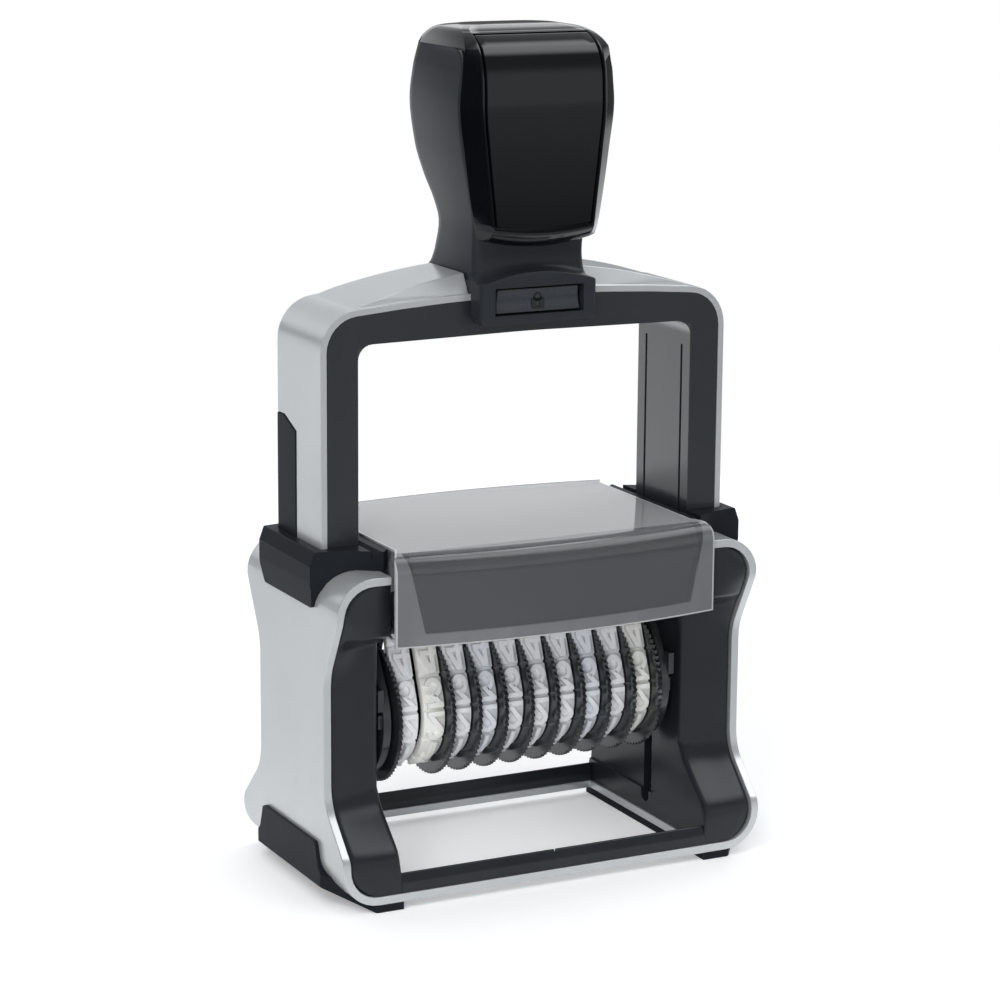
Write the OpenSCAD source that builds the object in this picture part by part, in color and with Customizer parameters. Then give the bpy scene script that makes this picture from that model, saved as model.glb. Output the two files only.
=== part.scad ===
// Number stamp: a self-inking band numberer. Pressing the bow turns the band
// carrier half a turn, from the ink pad above to the paper below.
// Millimetres, +Z up, front towards -Y, origin on the desk at the middle of the stamp.

/* [Number bands] */
// Distance between neighbouring number bands
band_pitch = 5; // [4.5:0.1:6]
// Width of one band
band_w = 3.9; // [3:0.1:4]
// Thickness of a band, with its raised cells
band_t = 2.2; // [1.6:0.1:3]
// Depth of the grooves between the cells
cell_groove = 0.7; // [0.3:0.1:1.2]
// Number of cells on a band
cell_n = 13; // [11:1:14]

/* [Number wheels] */
// Radius of the finger disc
disc_r = 12.4; // [11:0.1:13.5]
// Thickness of the finger disc
disc_t = 0.7; // [0.5:0.05:0.8]
// Teeth on the finger disc
disc_teeth = 72; // [48:2:96]
// Depth of those teeth
tooth_h = 0.5; // [0.3:0.05:0.9]
// Radius of the hub inside the band
hub_r = 7.8; // [6:0.1:8.5]
// Radius of the wheel axle
axle_r = 1.6; // [1.2:0.1:2.4]

/* [Carrier] */
// Thickness of a carrier side plate
plate_t = 1.4; // [1:0.1:2]
// Height of the stop lugs on the side plates
lug_h = 1; // [0.6:0.1:1.4]
// Radius of the flip pivot pins
pivot_r = 1.05; // [0.9:0.05:1.3]
// Distance from the flip pivot to the printing face
print_reach = 6.5; // [6:0.1:8]
// Distance from the flip pivot down to the wheel axle
axle_drop = 11; // [10:0.1:12]
// Half the depth of the flat printing face
print_half = 2.6; // [1.8:0.1:3.4]

/* [Stroke] */
// Travel of the bow, from rest to the paper
stroke = 33; // [30:0.5:36]

/* [Base] */
// Thickness of the silver sheet
sheet_t = 1.4; // [1:0.1:1.6]
// Outer radius of the sheet's four bends
bend_r = 6.6; // [5:0.2:8]
// Height of the ring above the desk
foot_h = 1.3; // [0.8:0.1:2]
// Depth of the bottom ring, front to back
ring_d = 43.4; // [40:0.2:48]
// Depth of the side walls at the waist
waist_d = 27.3; // [26:0.1:30]
// Depth of the shoulders
shoulder_d = 38.4; // [36:0.2:40]
// Width of the ring's front and rear rails
rail_w = 1.7; // [1.4:0.1:2.4]
// Height of the black rails on the ring
rail_h = 3.3; // [2:0.1:4]
// How far the side frames stay behind the edge of the sheet, at the sheet
frame_inset = 0.35; // [0.2:0.05:1]
// Thickness of a side frame's inner wall
wall_t = 1.9; // [1.4:0.1:2.4]
// How far the collar flaps stand out from the wall
flap_t = 1.1; // [0.6:0.1:1.4]
// How far the side feet stand out from the wall
foot_out = 0.7; // [0.5:0.1:1.2]
// Height of the collars above the shoulders
collar_h = 3.3; // [2.4:0.1:4]
// Half the depth of a collar
collar_half = 10.8; // [10.4:0.1:12]

/* [Ink pad and hood] */
// Height of the pad cassette
cassette_h = 12; // [10:0.2:13]
// Thickness of the ink pad
pad_t = 4; // [3:0.1:5]
// Wall thickness of the hood
hood_t = 1.2; // [0.8:0.1:1.6]
// Depth of the hood at its ends
hood_d = 42; // [40:0.2:44]
// How far the hood bulges at the middle of its front
hood_bow = 2.8; // [0:0.1:4]

/* [Bow] */
// Depth of the bow, front to back
bow_d = 18.2; // [16:0.1:19]
// Thickness of a bow leg
leg_t = 6.7; // [6:0.1:8]
// Thickness of the silver strap on the bow
strap_t = 1.1; // [0.8:0.1:1.4]
// Height of the black lining at the top of the bow
lining_h = 5.95; // [5:0.05:8]
// Outer corner radius of the bow
bow_corner_r = 7; // [5:0.5:9]
// Height of the strap's crown beside the handle
crown_h = 3.6; // [2:0.1:5]

/* [Handle] */
// Height of the handle above the bow
handle_h = 43.6; // [38:0.2:50]
// Width of the handle's head
head_w = 28.6; // [26:0.2:32]
// Depth of the handle's head
head_d = 23.2; // [21:0.2:26]
// Width of the neck
neck_w = 20.6; // [18:0.2:23]
// Width of the apron over the bow
apron_w = 21.8; // [20:0.2:25]
// How far the apron stands out from the bow
apron_out = 4; // [3.4:0.1:5]
// Width of the lock button
button_w = 16; // [12:0.2:17]
// Height of the lock button
button_h = 4; // [3:0.1:5]
// Travel of the lock button
button_travel = 1.2; // [0.8:0.1:1.4]

/* [Hidden] */
// Number of bands and wheels
wheel_n = 10;
// Clearance between pieces that move past each other
run_gap = 0.3;
// Clearance between pieces that are fixed together
seat_gap = 0.05;
// Clearance of a shaft in its bore
shaft_gap = 0.05;

// Sizes across the stamp, worked out from the row of bands
disc_gap = 0.2;
row_half = (wheel_n - 1) / 2 * band_pitch + band_w / 2 + disc_gap + disc_t;
plate_in = row_half + 0.85;
plate_out = plate_in + plate_t;
frame_in = plate_out + lug_h + 0.6;
leg_in = frame_in + wall_t + run_gap;
leg_out = leg_in + leg_t;
shell_in = leg_out + 0.4;
shell_out = shell_in + sheet_t;

// Heights, worked out from the stroke
ring_z0 = foot_h;
ring_z1 = foot_h + sheet_t;
pivot_z = stroke + print_reach;
axle_z = pivot_z - axle_drop;
print_z = pivot_z + print_reach;
ledge_z0 = print_z - 1;
ledge_z1 = print_z + 0.2;
cassette_z = ledge_z1 + run_gap;
cassette_top = cassette_z + cassette_h;
hood_z0 = print_z - 1.1;
hood_top = cassette_top + hood_t + 0.6;
shoulder_z = hood_top - 3.6;
collar_top = shoulder_z + collar_h;
lining_z = hood_top + stroke + 0.65;
strap_z = lining_z + lining_h;
bow_top = strap_z + strap_t;
leg_z0 = pivot_z - 2.5;
lining_r = 2.6;

// Band loop: a circle round the hub, drawn up to the flat printing face
loop_r = hub_r + run_gap + band_t;
nose_r = 2.4;
nose_y = print_half;
nose_z = print_z - nose_r;

// Arc of points about a centre
function arc(c, r, a0, a1, n) =
    [for (i = [0:n]) let (a = a0 + (a1 - a0) * i / n) c + r * [cos(a), sin(a)]];

function unit(v) = v / norm(v);

// Points of one rounded corner of an outline
function corner(a, b, c, r, n) =
    let (u = unit(a - b), v = unit(c - b), half = acos(max(-1, min(1, u * v))) / 2)
    r <= 0 || half > 89.9 ? [b] :
    let (m = b + unit(u + v) * r / sin(half),
         s = b + u * r / tan(half) - m,
         e = b + v * r / tan(half) - m,
         a0 = atan2(s.y, s.x),
         turn = (atan2(e.y, e.x) - a0 + 540) % 360 - 180)
    arc(m, r, a0, a0 + turn, n);

// Outline of [x, y, corner radius] points with its corners rounded
function rounded(p, n = 6) =
    let (k = len(p))
    [for (i = [0:k - 1])
        let (a = p[(i + k - 1) % k], b = p[i], c = p[(i + 1) % k])
        each corner([a.x, a.y], [b.x, b.y], [c.x, c.y], b.z, n)];

// Outline given for +X only, completed by its mirror image
function mirrored(p) = concat(p, [for (i = [len(p) - 1:-1:0]) [-p[i].x, p[i].y, p[i].z]]);

// Sweep a flat (y, z) shape along X, or a flat (x, z) shape along Y
module along_x(x0, x1) {
    translate([x0, 0, 0]) rotate([90, 0, 90]) linear_extrude(x1 - x0) children();
}
module along_y(y0, y1) {
    translate([0, y1, 0]) rotate([90, 0, 0]) linear_extrude(y1 - y0) children();
}

// Box between two corners
module block(a, b) {
    translate(a) cube(b - a);
}

// Both sides of the stamp
module both_sides() {
    children();
    mirror([1, 0, 0]) children();
}

// Solid through a stack of rings that have the same number of points
module loft(rings) {
    n = len(rings[0]);
    last = len(rings) - 1;
    polyhedron(
        points = [for (r = rings) each r],
        faces = concat(
            [[for (j = [0:n - 1]) j]],
            [[for (j = [n - 1:-1:0]) last * n + j]],
            [for (i = [0:last - 1], j = [0:n - 1]) let (k = (j + 1) % n)
                each [[i * n + j, (i + 1) * n + j, (i + 1) * n + k],
                      [i * n + j, (i + 1) * n + k, i * n + k]]]));
}

// Level ring of a loft: a rounded rectangle from front y0 to rear y1
function level(half_w, y0, y1, r0, r1, z) =
    [for (p = rounded([[half_w, y0, r0], [half_w, y1, r1], [-half_w, y1, r1], [-half_w, y0, r0]], 5))
        [p.x, p.y, z]];

// Base

// Side view of the sheet: wide ring, narrow waist, wide shoulders
flare_z = ring_z1 + 6.6;
waist_z0 = flare_z + (ring_d - waist_d) / 2;
flare_top = shoulder_z - 6.7;
waist_z1 = flare_top - (shoulder_d - waist_d) * 0.95;

function side_outline(inset) = rounded(mirrored([
    [ring_d / 2 - inset, 0, 0],
    [ring_d / 2 - inset, flare_z, 3],
    [waist_d / 2 - inset, waist_z0, 8],
    [waist_d / 2 - inset, waist_z1, 10],
    [shoulder_d / 2 - inset, flare_top, 6],
    [shoulder_d / 2 - inset, shoulder_z + 1, 0]]), 6);

module side_view(inset) {
    polygon(side_outline(inset));
}

// Front view of the sheet's outer or inner face
module sheet_view(half_w, z0, z1, r) {
    polygon(rounded([[half_w, z0, r], [half_w, z1, r], [-half_w, z1, r], [-half_w, z0, r]], 8));
}

module sheet_outside(grow) {
    sheet_view(shell_out + grow, ring_z0 - grow, shoulder_z + grow, bend_r + grow);
}

module sheet_inside(shrink) {
    sheet_view(shell_in - shrink, ring_z1, shoulder_z - sheet_t - shrink, bend_r - sheet_t - shrink);
}

// Space that a bow leg runs in
leg_half = bow_d / 2 + run_gap;
module leg_space(x1, z0, z1) {
    block([leg_in - run_gap, -leg_half, z0], [x1, leg_half, z1]);
}

shoulder_in = frame_in + 0.8;
window_half = frame_in - 0.4;
window_d = ring_d - 2 * rail_w;

module base_shell() {
    color([0.8, 0.81, 0.82]) difference() {
        intersection() {
            along_y(-ring_d, ring_d) difference() {
                sheet_outside(0);
                sheet_inside(0);
            }
            along_x(-shell_out - 1, shell_out + 1) side_view(0);
        }
        block([-window_half, -window_d / 2, -1], [window_half, window_d / 2, ring_z1 + 1]);
        block([-shoulder_in, -ring_d, shoulder_z - 2 * sheet_t], [shoulder_in, ring_d, shoulder_z + 1]);
        both_sides() leg_space(leg_out + run_gap, shoulder_z - bend_r, shoulder_z + 1);
    }
}

// Side frame: a moulded channel that guides one leg of the bow
slot_half = pivot_r + run_gap;
slot_z0 = pivot_z - stroke - 0.7;
channel_z = ring_z1 + 0.8;
ledge_in = plate_in - 0.6;

module side_frame() {
    difference() {
        union() {
            intersection() {
                along_y(-ring_d, ring_d) sheet_inside(seat_gap);
                frame_form();
            }
            pad_ledge();
        }
        leg_space(shell_in + 1, channel_z, shoulder_z + 1);
        pivot_slot();
        guide_recess();
    }
}

// The frame's front and rear faces lean back towards the inner wall. Under the
// shoulder they swell into a cheek, which ends in a lip above the channel.
frame_lean = 1.1;
cheek_z = ledge_z0;
cheek_lip = 0.5;
cheek_swell = 0.5;
frame_depth = [for (p = side_outline(frame_inset)) if (p.x > 0) [p.y, p.x]];

// Half depth of the frame at height z, at a share s of the way from the inner wall to the sheet
function frame_half(z, s) =
    let (outer = lookup(z, frame_depth),
         waist = waist_d / 2 - frame_inset,
         cheek = shoulder_d / 2 - frame_inset,
         inner = (z < flare_z + waist_z0 / 2 ? outer : z < cheek_z ? min(outer, waist) : cheek) - frame_lean)
    z < cheek_z ? inner + (outer - inner) * s * s
                : inner + (outer - inner) * s + cheek_swell * sin(180 * s);

module frame_form() {
    steps = [0, 0.25, 0.5, 0.75, 1];
    levels = concat(
        [for (d = frame_depth) if (d[0] < cheek_z - cheek_lip) d[0]],
        [cheek_z - cheek_lip, cheek_z + cheek_lip],
        [for (d = frame_depth) if (d[0] > cheek_z + cheek_lip) d[0]]);
    loft([for (z = levels) concat(
        [for (s = steps) [frame_in + (shell_in - frame_in) * s, -frame_half(z, s), z]],
        [for (i = [4:-1:0]) let (s = steps[i]) [frame_in + (shell_in - frame_in) * s, frame_half(z, s), z]])]);
}

// Ledge that carries the pad cassette and the hood
ledge_half = waist_d / 2 - frame_inset - frame_lean;
module pad_ledge() {
    block([ledge_in, -ledge_half, ledge_z0], [frame_in + 0.1, ledge_half, ledge_z1]);
}

module pivot_slot() {
    block([frame_in - 1, -slot_half, slot_z0], [leg_in, slot_half, pivot_z]);
    for (z = [slot_z0, pivot_z])
        translate([frame_in - 1, 0, z]) rotate([0, 90, 0]) cylinder(r = slot_half, h = leg_in - frame_in + 1, $fn = 48);
}

// Shallow recess behind the slot, with a curved front edge
recess_t = 0.5;
module guide_recess() {
    along_x(frame_in - 0.2, frame_in + recess_t) polygon(rounded([
        [-4, ring_z1 + 4, 2], [-4, axle_z - 12, 20], [-9, axle_z + 4, 12],
        [-9, ledge_z0 - 2, 2], [waist_d / 2 - 3.4, ledge_z0 - 2, 2], [waist_d / 2 - 3.4, ring_z1 + 4, 2]]));
}

module side_frame_right() {
    color([0.2, 0.21, 0.22]) side_frame();
}

module side_frame_left() {
    color([0.2, 0.21, 0.22]) mirror([1, 0, 0]) side_frame();
}

// Black rails along the front and the back of the ring
module window_rails() {
    y_in = window_d / 2 - 0.1;
    y_out = ring_d / 2 - 0.2;
    z1 = ring_z1 + rail_h;
    color([0.16, 0.17, 0.18]) for (s = [0, 1]) mirror([0, s, 0])
        along_x(-frame_in, frame_in) polygon([
            [-y_in, ring_z1], [-y_in, z1 - 2], [-y_in - 0.4, z1],
            [-y_in - 0.8, z1], [-y_out, z1 - 1.4], [-y_out, ring_z1]]);
}

// Collar round a bow leg, with a flap on the outer wall
collar_in = frame_in - 1;
flap_z = shoulder_z - bend_r + 0.3;

module collar() {
    x_out = shell_out + flap_t;
    wing_half = collar_half + 2.6;
    difference() {
        intersection() {
            along_y(-wing_half, wing_half) polygon(rounded([
                [collar_in, shoulder_z + seat_gap, 0], [shell_out - 3, flap_z, 0], [x_out - 0.6, flap_z, 0],
                [x_out, flap_z + 4, 0], [x_out, collar_top - 2.3, 0.4], [x_out - 0.9, collar_top, 0.4],
                [collar_in, collar_top, 0]]));
            linear_extrude(collar_top + 1) polygon([
                [collar_in, -wing_half + 1.6], [collar_in + 1.4, -wing_half], [collar_in + 3, -wing_half + 0.2],
                [leg_out, -collar_half - 0.4], [x_out + 0.1, -collar_half], [x_out + 0.1, collar_half],
                [leg_out, collar_half + 0.4], [collar_in + 3, wing_half - 0.2], [collar_in + 1.4, wing_half],
                [collar_in, wing_half - 1.6]]);
            along_x(collar_in - 1, x_out + 1) polygon(rounded(mirrored([
                [collar_half - 0.8, flap_z, 0.6], [collar_half, flap_z + 3, 0.6], [wing_half + 1, shoulder_z - 1, 0],
                [wing_half + 1, collar_top + 1, 0]])));
        }
        along_y(-ring_d, ring_d) sheet_outside(seat_gap);
        leg_space(leg_out + run_gap, flap_z - 1, collar_top + 1);
        // Lead-in that clears the bow's inner corner at the end of the stroke
        along_y(-ring_d, ring_d) polygon([
            [leg_in - lining_r / 2 - run_gap, collar_top + 0.1], [leg_in, collar_top + 0.1],
            [leg_in, collar_top - lining_r / 2 - run_gap]]);
    }
}

module collar_right() {
    color([0.22, 0.23, 0.24]) collar();
}

module collar_left() {
    color([0.22, 0.23, 0.24]) mirror([1, 0, 0]) collar();
}

// Foot: a plate under the ring, wrapped up over the lower bend
foot_in = window_half + 0.1;
foot_top = ring_z1 + 7.6;

module foot() {
    x_out = shell_out + foot_out;
    x_bend = shell_out - bend_r + 0.6;
    difference() {
        intersection() {
            along_y(-ring_d / 2, ring_d / 2) polygon([
                [foot_in, 0], [x_bend, 0], [x_out, 3], [x_out, foot_top], [foot_in, foot_top]]);
            linear_extrude(foot_top) polygon(rounded([
                [foot_in, -ring_d / 2, 0], [x_bend, -ring_d / 2, 1], [x_out, -waist_d / 2, 1],
                [x_out, waist_d / 2, 1], [x_bend, ring_d / 2, 1], [foot_in, ring_d / 2, 0]], 4));
            along_x(foot_in - 1, x_out + 1) polygon(rounded(mirrored([
                [ring_d / 2 + 1, 0, 0], [ring_d / 2 + 1, ring_z0 + 3.2, 0], [waist_d / 2 - 0.8, ring_z0 + 4, 2],
                [waist_d / 2 - 2.4, foot_top, 1]])));
        }
        along_y(-ring_d, ring_d) sheet_outside(seat_gap);
    }
}

module foot_right() {
    color([0.2, 0.21, 0.22]) foot();
}

module foot_left() {
    color([0.2, 0.21, 0.22]) mirror([1, 0, 0]) foot();
}

// Return spring in a leg: a helix from the frame's floor to the blind end of the leg's bore
spring_r = 1.7;
wire_r = 0.35;
spring_turns = 18;
spring_y = bow_d / 4 + 0.6;
spring_x = leg_in + (leg_t - strap_t) / 2;
spring_z0 = channel_z + wire_r;
spring_z1 = spring_z0 + 2 * stroke;
spring_gap = (spring_z1 - spring_z0) / spring_turns - 2 * wire_r;
echo(spring_turn_gap = spring_gap);

module spring() {
    steps = 8;
    sides = 6;
    rings = [for (i = [0:spring_turns * steps])
        let (a = 360 * i / steps, z = spring_z0 + (spring_z1 - spring_z0) * i / (spring_turns * steps))
        [for (j = [0:sides - 1])
            let (b = -360 * j / sides, r = spring_r + wire_r * cos(b))
            [spring_x + r * cos(a), spring_y + r * sin(a), z + wire_r * sin(b)]]];
    loft(rings);
}

module spring_right() {
    color("silver") spring();
}

module spring_left() {
    color("silver") mirror([1, 0, 0]) spring();
}

// Ink pad and hood

// Side view of the hood at one station along X: its front and back bulge towards the middle
hood_half = shoulder_in + 0.1;
hood_top_half = collar_in - 0.2;
hood_r = 4.5;

function hood_y(x) = hood_d / 2 + hood_bow * (1 - pow(x / hood_half, 2));

function hood_ring(x, inset, z0) =
    let (y = hood_y(x) - inset, top = hood_top - inset, r = max(0.5, hood_r - inset))
    [for (p = rounded([[-y, z0, 0], [y, z0, 0], [y, top, r], [-y, top, r]], 5)) [x, p.x, p.y]];

module hood_solid(half_w, inset, z0) {
    n = 10;
    loft([for (i = [0:n]) hood_ring(half_w * (2 * i / n - 1), inset, z0)]);
}

// The ends run between the collars and spread in front of them
module hood_ends() {
    y0 = hood_d / 2 - 4.9;
    y1 = hood_d / 2 - 0.4;
    both_sides() linear_extrude(hood_top + 1) polygon([
        [hood_top_half, -y0], [hood_half + 0.1, -y1], [hood_half + 9, -y1],
        [hood_half + 9, y1], [hood_half + 0.1, y1], [hood_top_half, y0]]);
}

module hood() {
    inner = hood_top_half - hood_t;
    color([0.45, 0.45, 0.47, 0.5]) difference() {
        hood_solid(hood_half, 0, hood_z0);
        hood_solid(inner, hood_t, hood_z0 - 1);
        hood_ends();
        // Open back, where the cassette slides out
        block([-inner, 0, hood_z0 - 1], [inner, ring_d, cassette_top + 0.2]);
        // Ends that stand on the pad ledges
        both_sides() block([ledge_in - 0.3, -ledge_half - 0.3, hood_z0 - 1],
                           [shell_out, ledge_half + 0.3, ledge_z1]);
    }
}

// Cassette: a tray that holds the pad face down, with a front panel and a rear grip
cassette_half = hood_top_half - hood_t - run_gap;
cassette_y = hood_d / 2 - hood_t - 2.4;

// Curved panel that follows the hood's front and back
module cassette_panel(inset, y0, y1) {
    half = cassette_half - 0.1;
    intersection() {
        difference() {
            hood_solid(half, inset, hood_z0);
            hood_solid(half + 1, inset + 1.2, hood_z0 - 1);
        }
        along_y(y0, y1) polygon([
            [half - 1.8, cassette_z], [half, cassette_top - 0.3],
            [-half, cassette_top - 0.3], [-half + 1.8, cassette_z]]);
    }
}

module pad_cassette() {
    pocket_half = ledge_in - 1.2;
    gap = hood_t + run_gap;
    color([0.3, 0.3, 0.32]) {
        difference() {
            along_y(-cassette_y, cassette_y) polygon(rounded(mirrored([
                [cassette_half, cassette_z, 0.4], [cassette_half, cassette_top, 1]]), 4));
            block([-pocket_half, -cassette_y + 2, cassette_z - 1], [pocket_half, cassette_y - 2, cassette_z + pad_t]);
        }
        cassette_panel(gap, -ring_d, -cassette_y + 3);
        cassette_panel(0, cassette_y, ring_d);
        // Webs that carry the panels
        for (x = [-cassette_half / 2, cassette_half / 2]) {
            block([x - 0.6, 0.6 + gap - hood_y(x), cassette_z], [x + 0.6, -cassette_y + 0.1, cassette_z + 8]);
            block([x - 0.6, cassette_y - 0.1, cassette_z], [x + 0.6, hood_y(x) - 0.6, cassette_z + 8]);
        }
    }
}

module ink_pad() {
    half = ledge_in - 1.2 - seat_gap;
    y = cassette_y - 2 - seat_gap;
    color([0.1, 0.1, 0.16]) along_x(-half, half) polygon(rounded([
        [-y, print_z + run_gap, 0.8], [y, print_z + run_gap, 0.8],
        [y, cassette_z + pad_t, 0], [-y, cassette_z + pad_t, 0]], 4));
}

// Bow

bow_half = bow_d / 2;
arch_slope = 0.093;
arch_r = 330;
arch_drop = arch_r * (1 / cos(atan(arch_slope)) - 1);

// Front view of a bow layer, open at the bottom
function bow_arch(half_w, z0, top, corner_r, end_r = 0) = [
    [half_w, z0, end_r], [half_w, top + arch_drop - arch_slope * half_w, corner_r],
    [0, top + arch_drop, arch_r],
    [-half_w, top + arch_drop - arch_slope * half_w, corner_r], [-half_w, z0, end_r]];

module strap_outside(z0) {
    polygon(rounded(bow_arch(leg_out, z0, bow_top, bow_corner_r), 8));
}

module strap_inside(z0, gap, end_r = 0) {
    polygon(rounded(bow_arch(leg_out - strap_t - gap, z0, strap_z - gap, bow_corner_r - strap_t, end_r), 8));
}

// The crown rises from the ends of the strap to the sides of the handle
crown_top = bow_top + crown_h;
crown_r = 100;
module crown() {
    intersection() {
        along_y(-bow_half, bow_half) difference() {
            translate([0, crown_top - crown_r]) circle(r = crown_r, $fn = 256);
            translate([-leg_out, 0]) square([2 * leg_out, bow_top - 2]);
            polygon(rounded(bow_arch(leg_out, -1, bow_top - strap_t / 2, bow_corner_r), 8));
            translate([-apron_w / 2 - seat_gap, 0]) square([apron_w + 2 * seat_gap, 2 * bow_top]);
        }
        along_x(-leg_out, leg_out) polygon(mirrored([
            [bow_half - 0.7, bow_top - 3, 0], [bow_half - 0.7, bow_top - 0.4, 0],
            [bow_half - 3.4, crown_top + 0.6, 0]]) * [[1, 0], [0, 1], [0, 0]]);
    }
}

// Recess for the strip on the rear half of each leg's outer side
strip_z0 = collar_top - 6;
strip_z1 = collar_top + 20;
strip_y = 1.3;
module strip_view(gap) {
    polygon([[strip_y - gap, strip_z0 - gap], [bow_half + 1, strip_z0 - gap], [bow_half + 1, strip_z1 + gap],
             [bow_half - 3, strip_z1 + gap], [strip_y - gap, strip_z1 - 2 + gap]]);
}

module bow_strap() {
    z0 = collar_top - 8;
    color([0.8, 0.81, 0.82]) difference() {
        union() {
            along_y(-bow_half, bow_half) difference() {
                strap_outside(z0);
                strap_inside(z0 - 1, 0);
            }
            crown();
        }
        both_sides() along_x(leg_out - strap_t - 0.1, leg_out + 1) strip_view(seat_gap);
    }
}

// Strips set into the strap, a little proud of it
strip_proud = 0.15;
module leg_strip() {
    intersection() {
        along_x(leg_out - strap_t, leg_out + strip_proud) strip_view(0);
        block([0, 0, 0], [shell_out, bow_half, bow_top]);
    }
}

module leg_strip_right() {
    color([0.2, 0.21, 0.22]) leg_strip();
}

module leg_strip_left() {
    color([0.2, 0.21, 0.22]) mirror([1, 0, 0]) leg_strip();
}

// Black lining of the bow, which also forms both legs
module bow_lining() {
    groove_t = 0.5;
    color([0.18, 0.19, 0.2]) difference() {
        along_y(-bow_half, bow_half) difference() {
            strap_inside(leg_z0, seat_gap, 2.6);
            polygon(rounded([
                [leg_in, leg_z0 - 1, 0], [leg_in, lining_z - 0.4, lining_r], [0, lining_z, 300],
                [-leg_in, lining_z - 0.4, lining_r], [-leg_in, leg_z0 - 1, 0]], 6));
        }
        both_sides() {
            // Grooves along the inner face of the leg
            for (y = [-bow_half + 2.6, bow_half - 3.2])
                block([leg_in - 1, y, collar_top - 2], [leg_in + groove_t, y + 0.6, lining_z - 5]);
            // Bores of the pivot pin and the return spring
            translate([leg_in - 1, 0, pivot_z]) rotate([0, 90, 0]) cylinder(r = pivot_r + 0.02, h = 5, $fn = 48);
            translate([spring_x, spring_y, leg_z0 - 1])
                cylinder(r = spring_r + wire_r + run_gap, h = spring_z1 + wire_r + 0.1 - leg_z0 + 1, $fn = 48);
        }
        // Room for the lock button behind the apron
        block([-button_w / 4, -bow_half - 1, stem_z0 - run_gap], [button_w / 4, -bow_half + 1, strap_z + 1]);
    }
}

// Pivot pin: pressed into the leg, it reaches through the slot into the carrier plate
module pivot_pin() {
    translate([plate_in - 0.3, 0, pivot_z]) rotate([0, 90, 0]) {
        cylinder(r = pivot_r, h = leg_in + 3.6 - plate_in + 0.3, $fn = 48);
        translate([0, 0, plate_t + 0.6]) cylinder(r = pivot_r + 0.2, h = 0.5, $fn = 48);
    }
}

module pivot_pin_right() {
    color("silver") pivot_pin();
}

module pivot_pin_left() {
    color("silver") mirror([1, 0, 0]) pivot_pin();
}

// Handle

apron_y = bow_half + apron_out;
apron_z0 = lining_z + 0.4;
neck_z = bow_top + 6.5;
head_z = bow_top + handle_h * 0.71;
cap_z = bow_top + handle_h - 3.2;
handle_top = bow_top + handle_h;
face_y = -head_d / 2;
button_z0 = bow_top - button_h + 0.7;
stem_z0 = button_z0 + 0.7;
stem_z1 = strap_z - 0.4;

// Levels of the moulded handle, from the apron to the underside of the cap
module handle_form() {
    h = head_w / 2;
    n = neck_w / 2;
    d = head_d / 2;
    loft([
        level(apron_w / 2, -apron_y + 0.6, apron_y - 0.6, 1, 1, apron_z0),
        level(apron_w / 2, -apron_y, apron_y, 1, 1, apron_z0 + 1.2),
        level(apron_w / 2, -apron_y, apron_y, 1, 1, bow_top + 1.8),
        level(apron_w / 2 - 0.2, -apron_y + 1, apron_y - 1.4, 1.4, 2, bow_top + 2.8),
        level(n + 0.1, -apron_y + 2.8, apron_y - 3.4, 1.2, 3, bow_top + 4.4),
        level(n, -d + 1.6, d - 2.4, 1.2, 4, neck_z),
        level(n + 0.2, -d + 1.6, d - 3.2, 1.2, 5.5, neck_z + 4),
        level(n + 0.8, -d + 1.4, d - 2.6, 1, 5.5, neck_z + 7.5),
        level(h - 2, -d + 0.6, d - 1.2, 1, 5, neck_z + 11.5),
        level(h - 0.8, -d, d - 0.3, 1, 5, neck_z + 17),
        level(h, -d, d, 1, 5, head_z),
        level(h - 0.4, -d, d - 0.3, 1, 5, head_z + 5),
        level(h - 1.1, -d + 0.4, d - 1.2, 1, 5, cap_z)]);
}

module handle_body() {
    color([0.22, 0.23, 0.24]) difference() {
        handle_form();
        along_y(-bow_half - seat_gap, bow_half + seat_gap)
            polygon(rounded(bow_arch(leg_out, 0, bow_top + seat_gap, bow_corner_r), 8));
        button_pocket();
        apron_corners();
    }
}

// Rounds the lower corners of the apron in the front view
apron_r = 2;
module apron_corners() {
    x = apron_w / 2 - apron_r;
    both_sides() along_y(-head_d, head_d) polygon(concat(
        [[x, apron_z0 - 1], [apron_w, apron_z0 - 1], [apron_w, apron_z0 + apron_r]],
        arc([x, apron_z0 + apron_r], apron_r, 0, -90, 6)));
}

module button_pocket() {
    g = run_gap;
    block([-button_w / 2 - g, -apron_y - 1, button_z0 - g],
          [button_w / 2 + g, -bow_half, button_z0 + button_h + g]);
}

// Glossy cap: a bezel down the front, carried over the top of the head
cap_out = 2.8;
bezel_z0 = neck_z + 2.6;
// Bezel levels: half width at the back edge, half width at the face, front, height
bezel_half = head_w / 2;
bezel_y = face_y - cap_out;
bezel = [
    [bezel_half - 3.4, bezel_half - 5, bezel_y + 1.9, bezel_z0],
    [bezel_half - 3, bezel_half - 5.2, bezel_y + 0.4, bezel_z0 + 1],
    [bezel_half - 2.6, bezel_half - 5, bezel_y, bezel_z0 + 3],
    [bezel_half - 0.9, bezel_half - 3.6, bezel_y, neck_z + 17],
    [bezel_half, bezel_half - 2.9, bezel_y, head_z],
    [bezel_half - 0.3, bezel_half - 2.9, bezel_y + 0.2, head_z + 4],
    [bezel_half - 0.9, bezel_half - 3, bezel_y + 1, cap_z - 1.8],
    [bezel_half - 1.6, bezel_half - 3.2, bezel_y + 2.4, cap_z + 0.6],
    [bezel_half - 2.6, bezel_half - 3.8, bezel_y + 4.4, handle_top - 0.8],
    [bezel_half - 3.6, bezel_half - 4.4, bezel_y + 6.4, handle_top - 0.1]];

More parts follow.
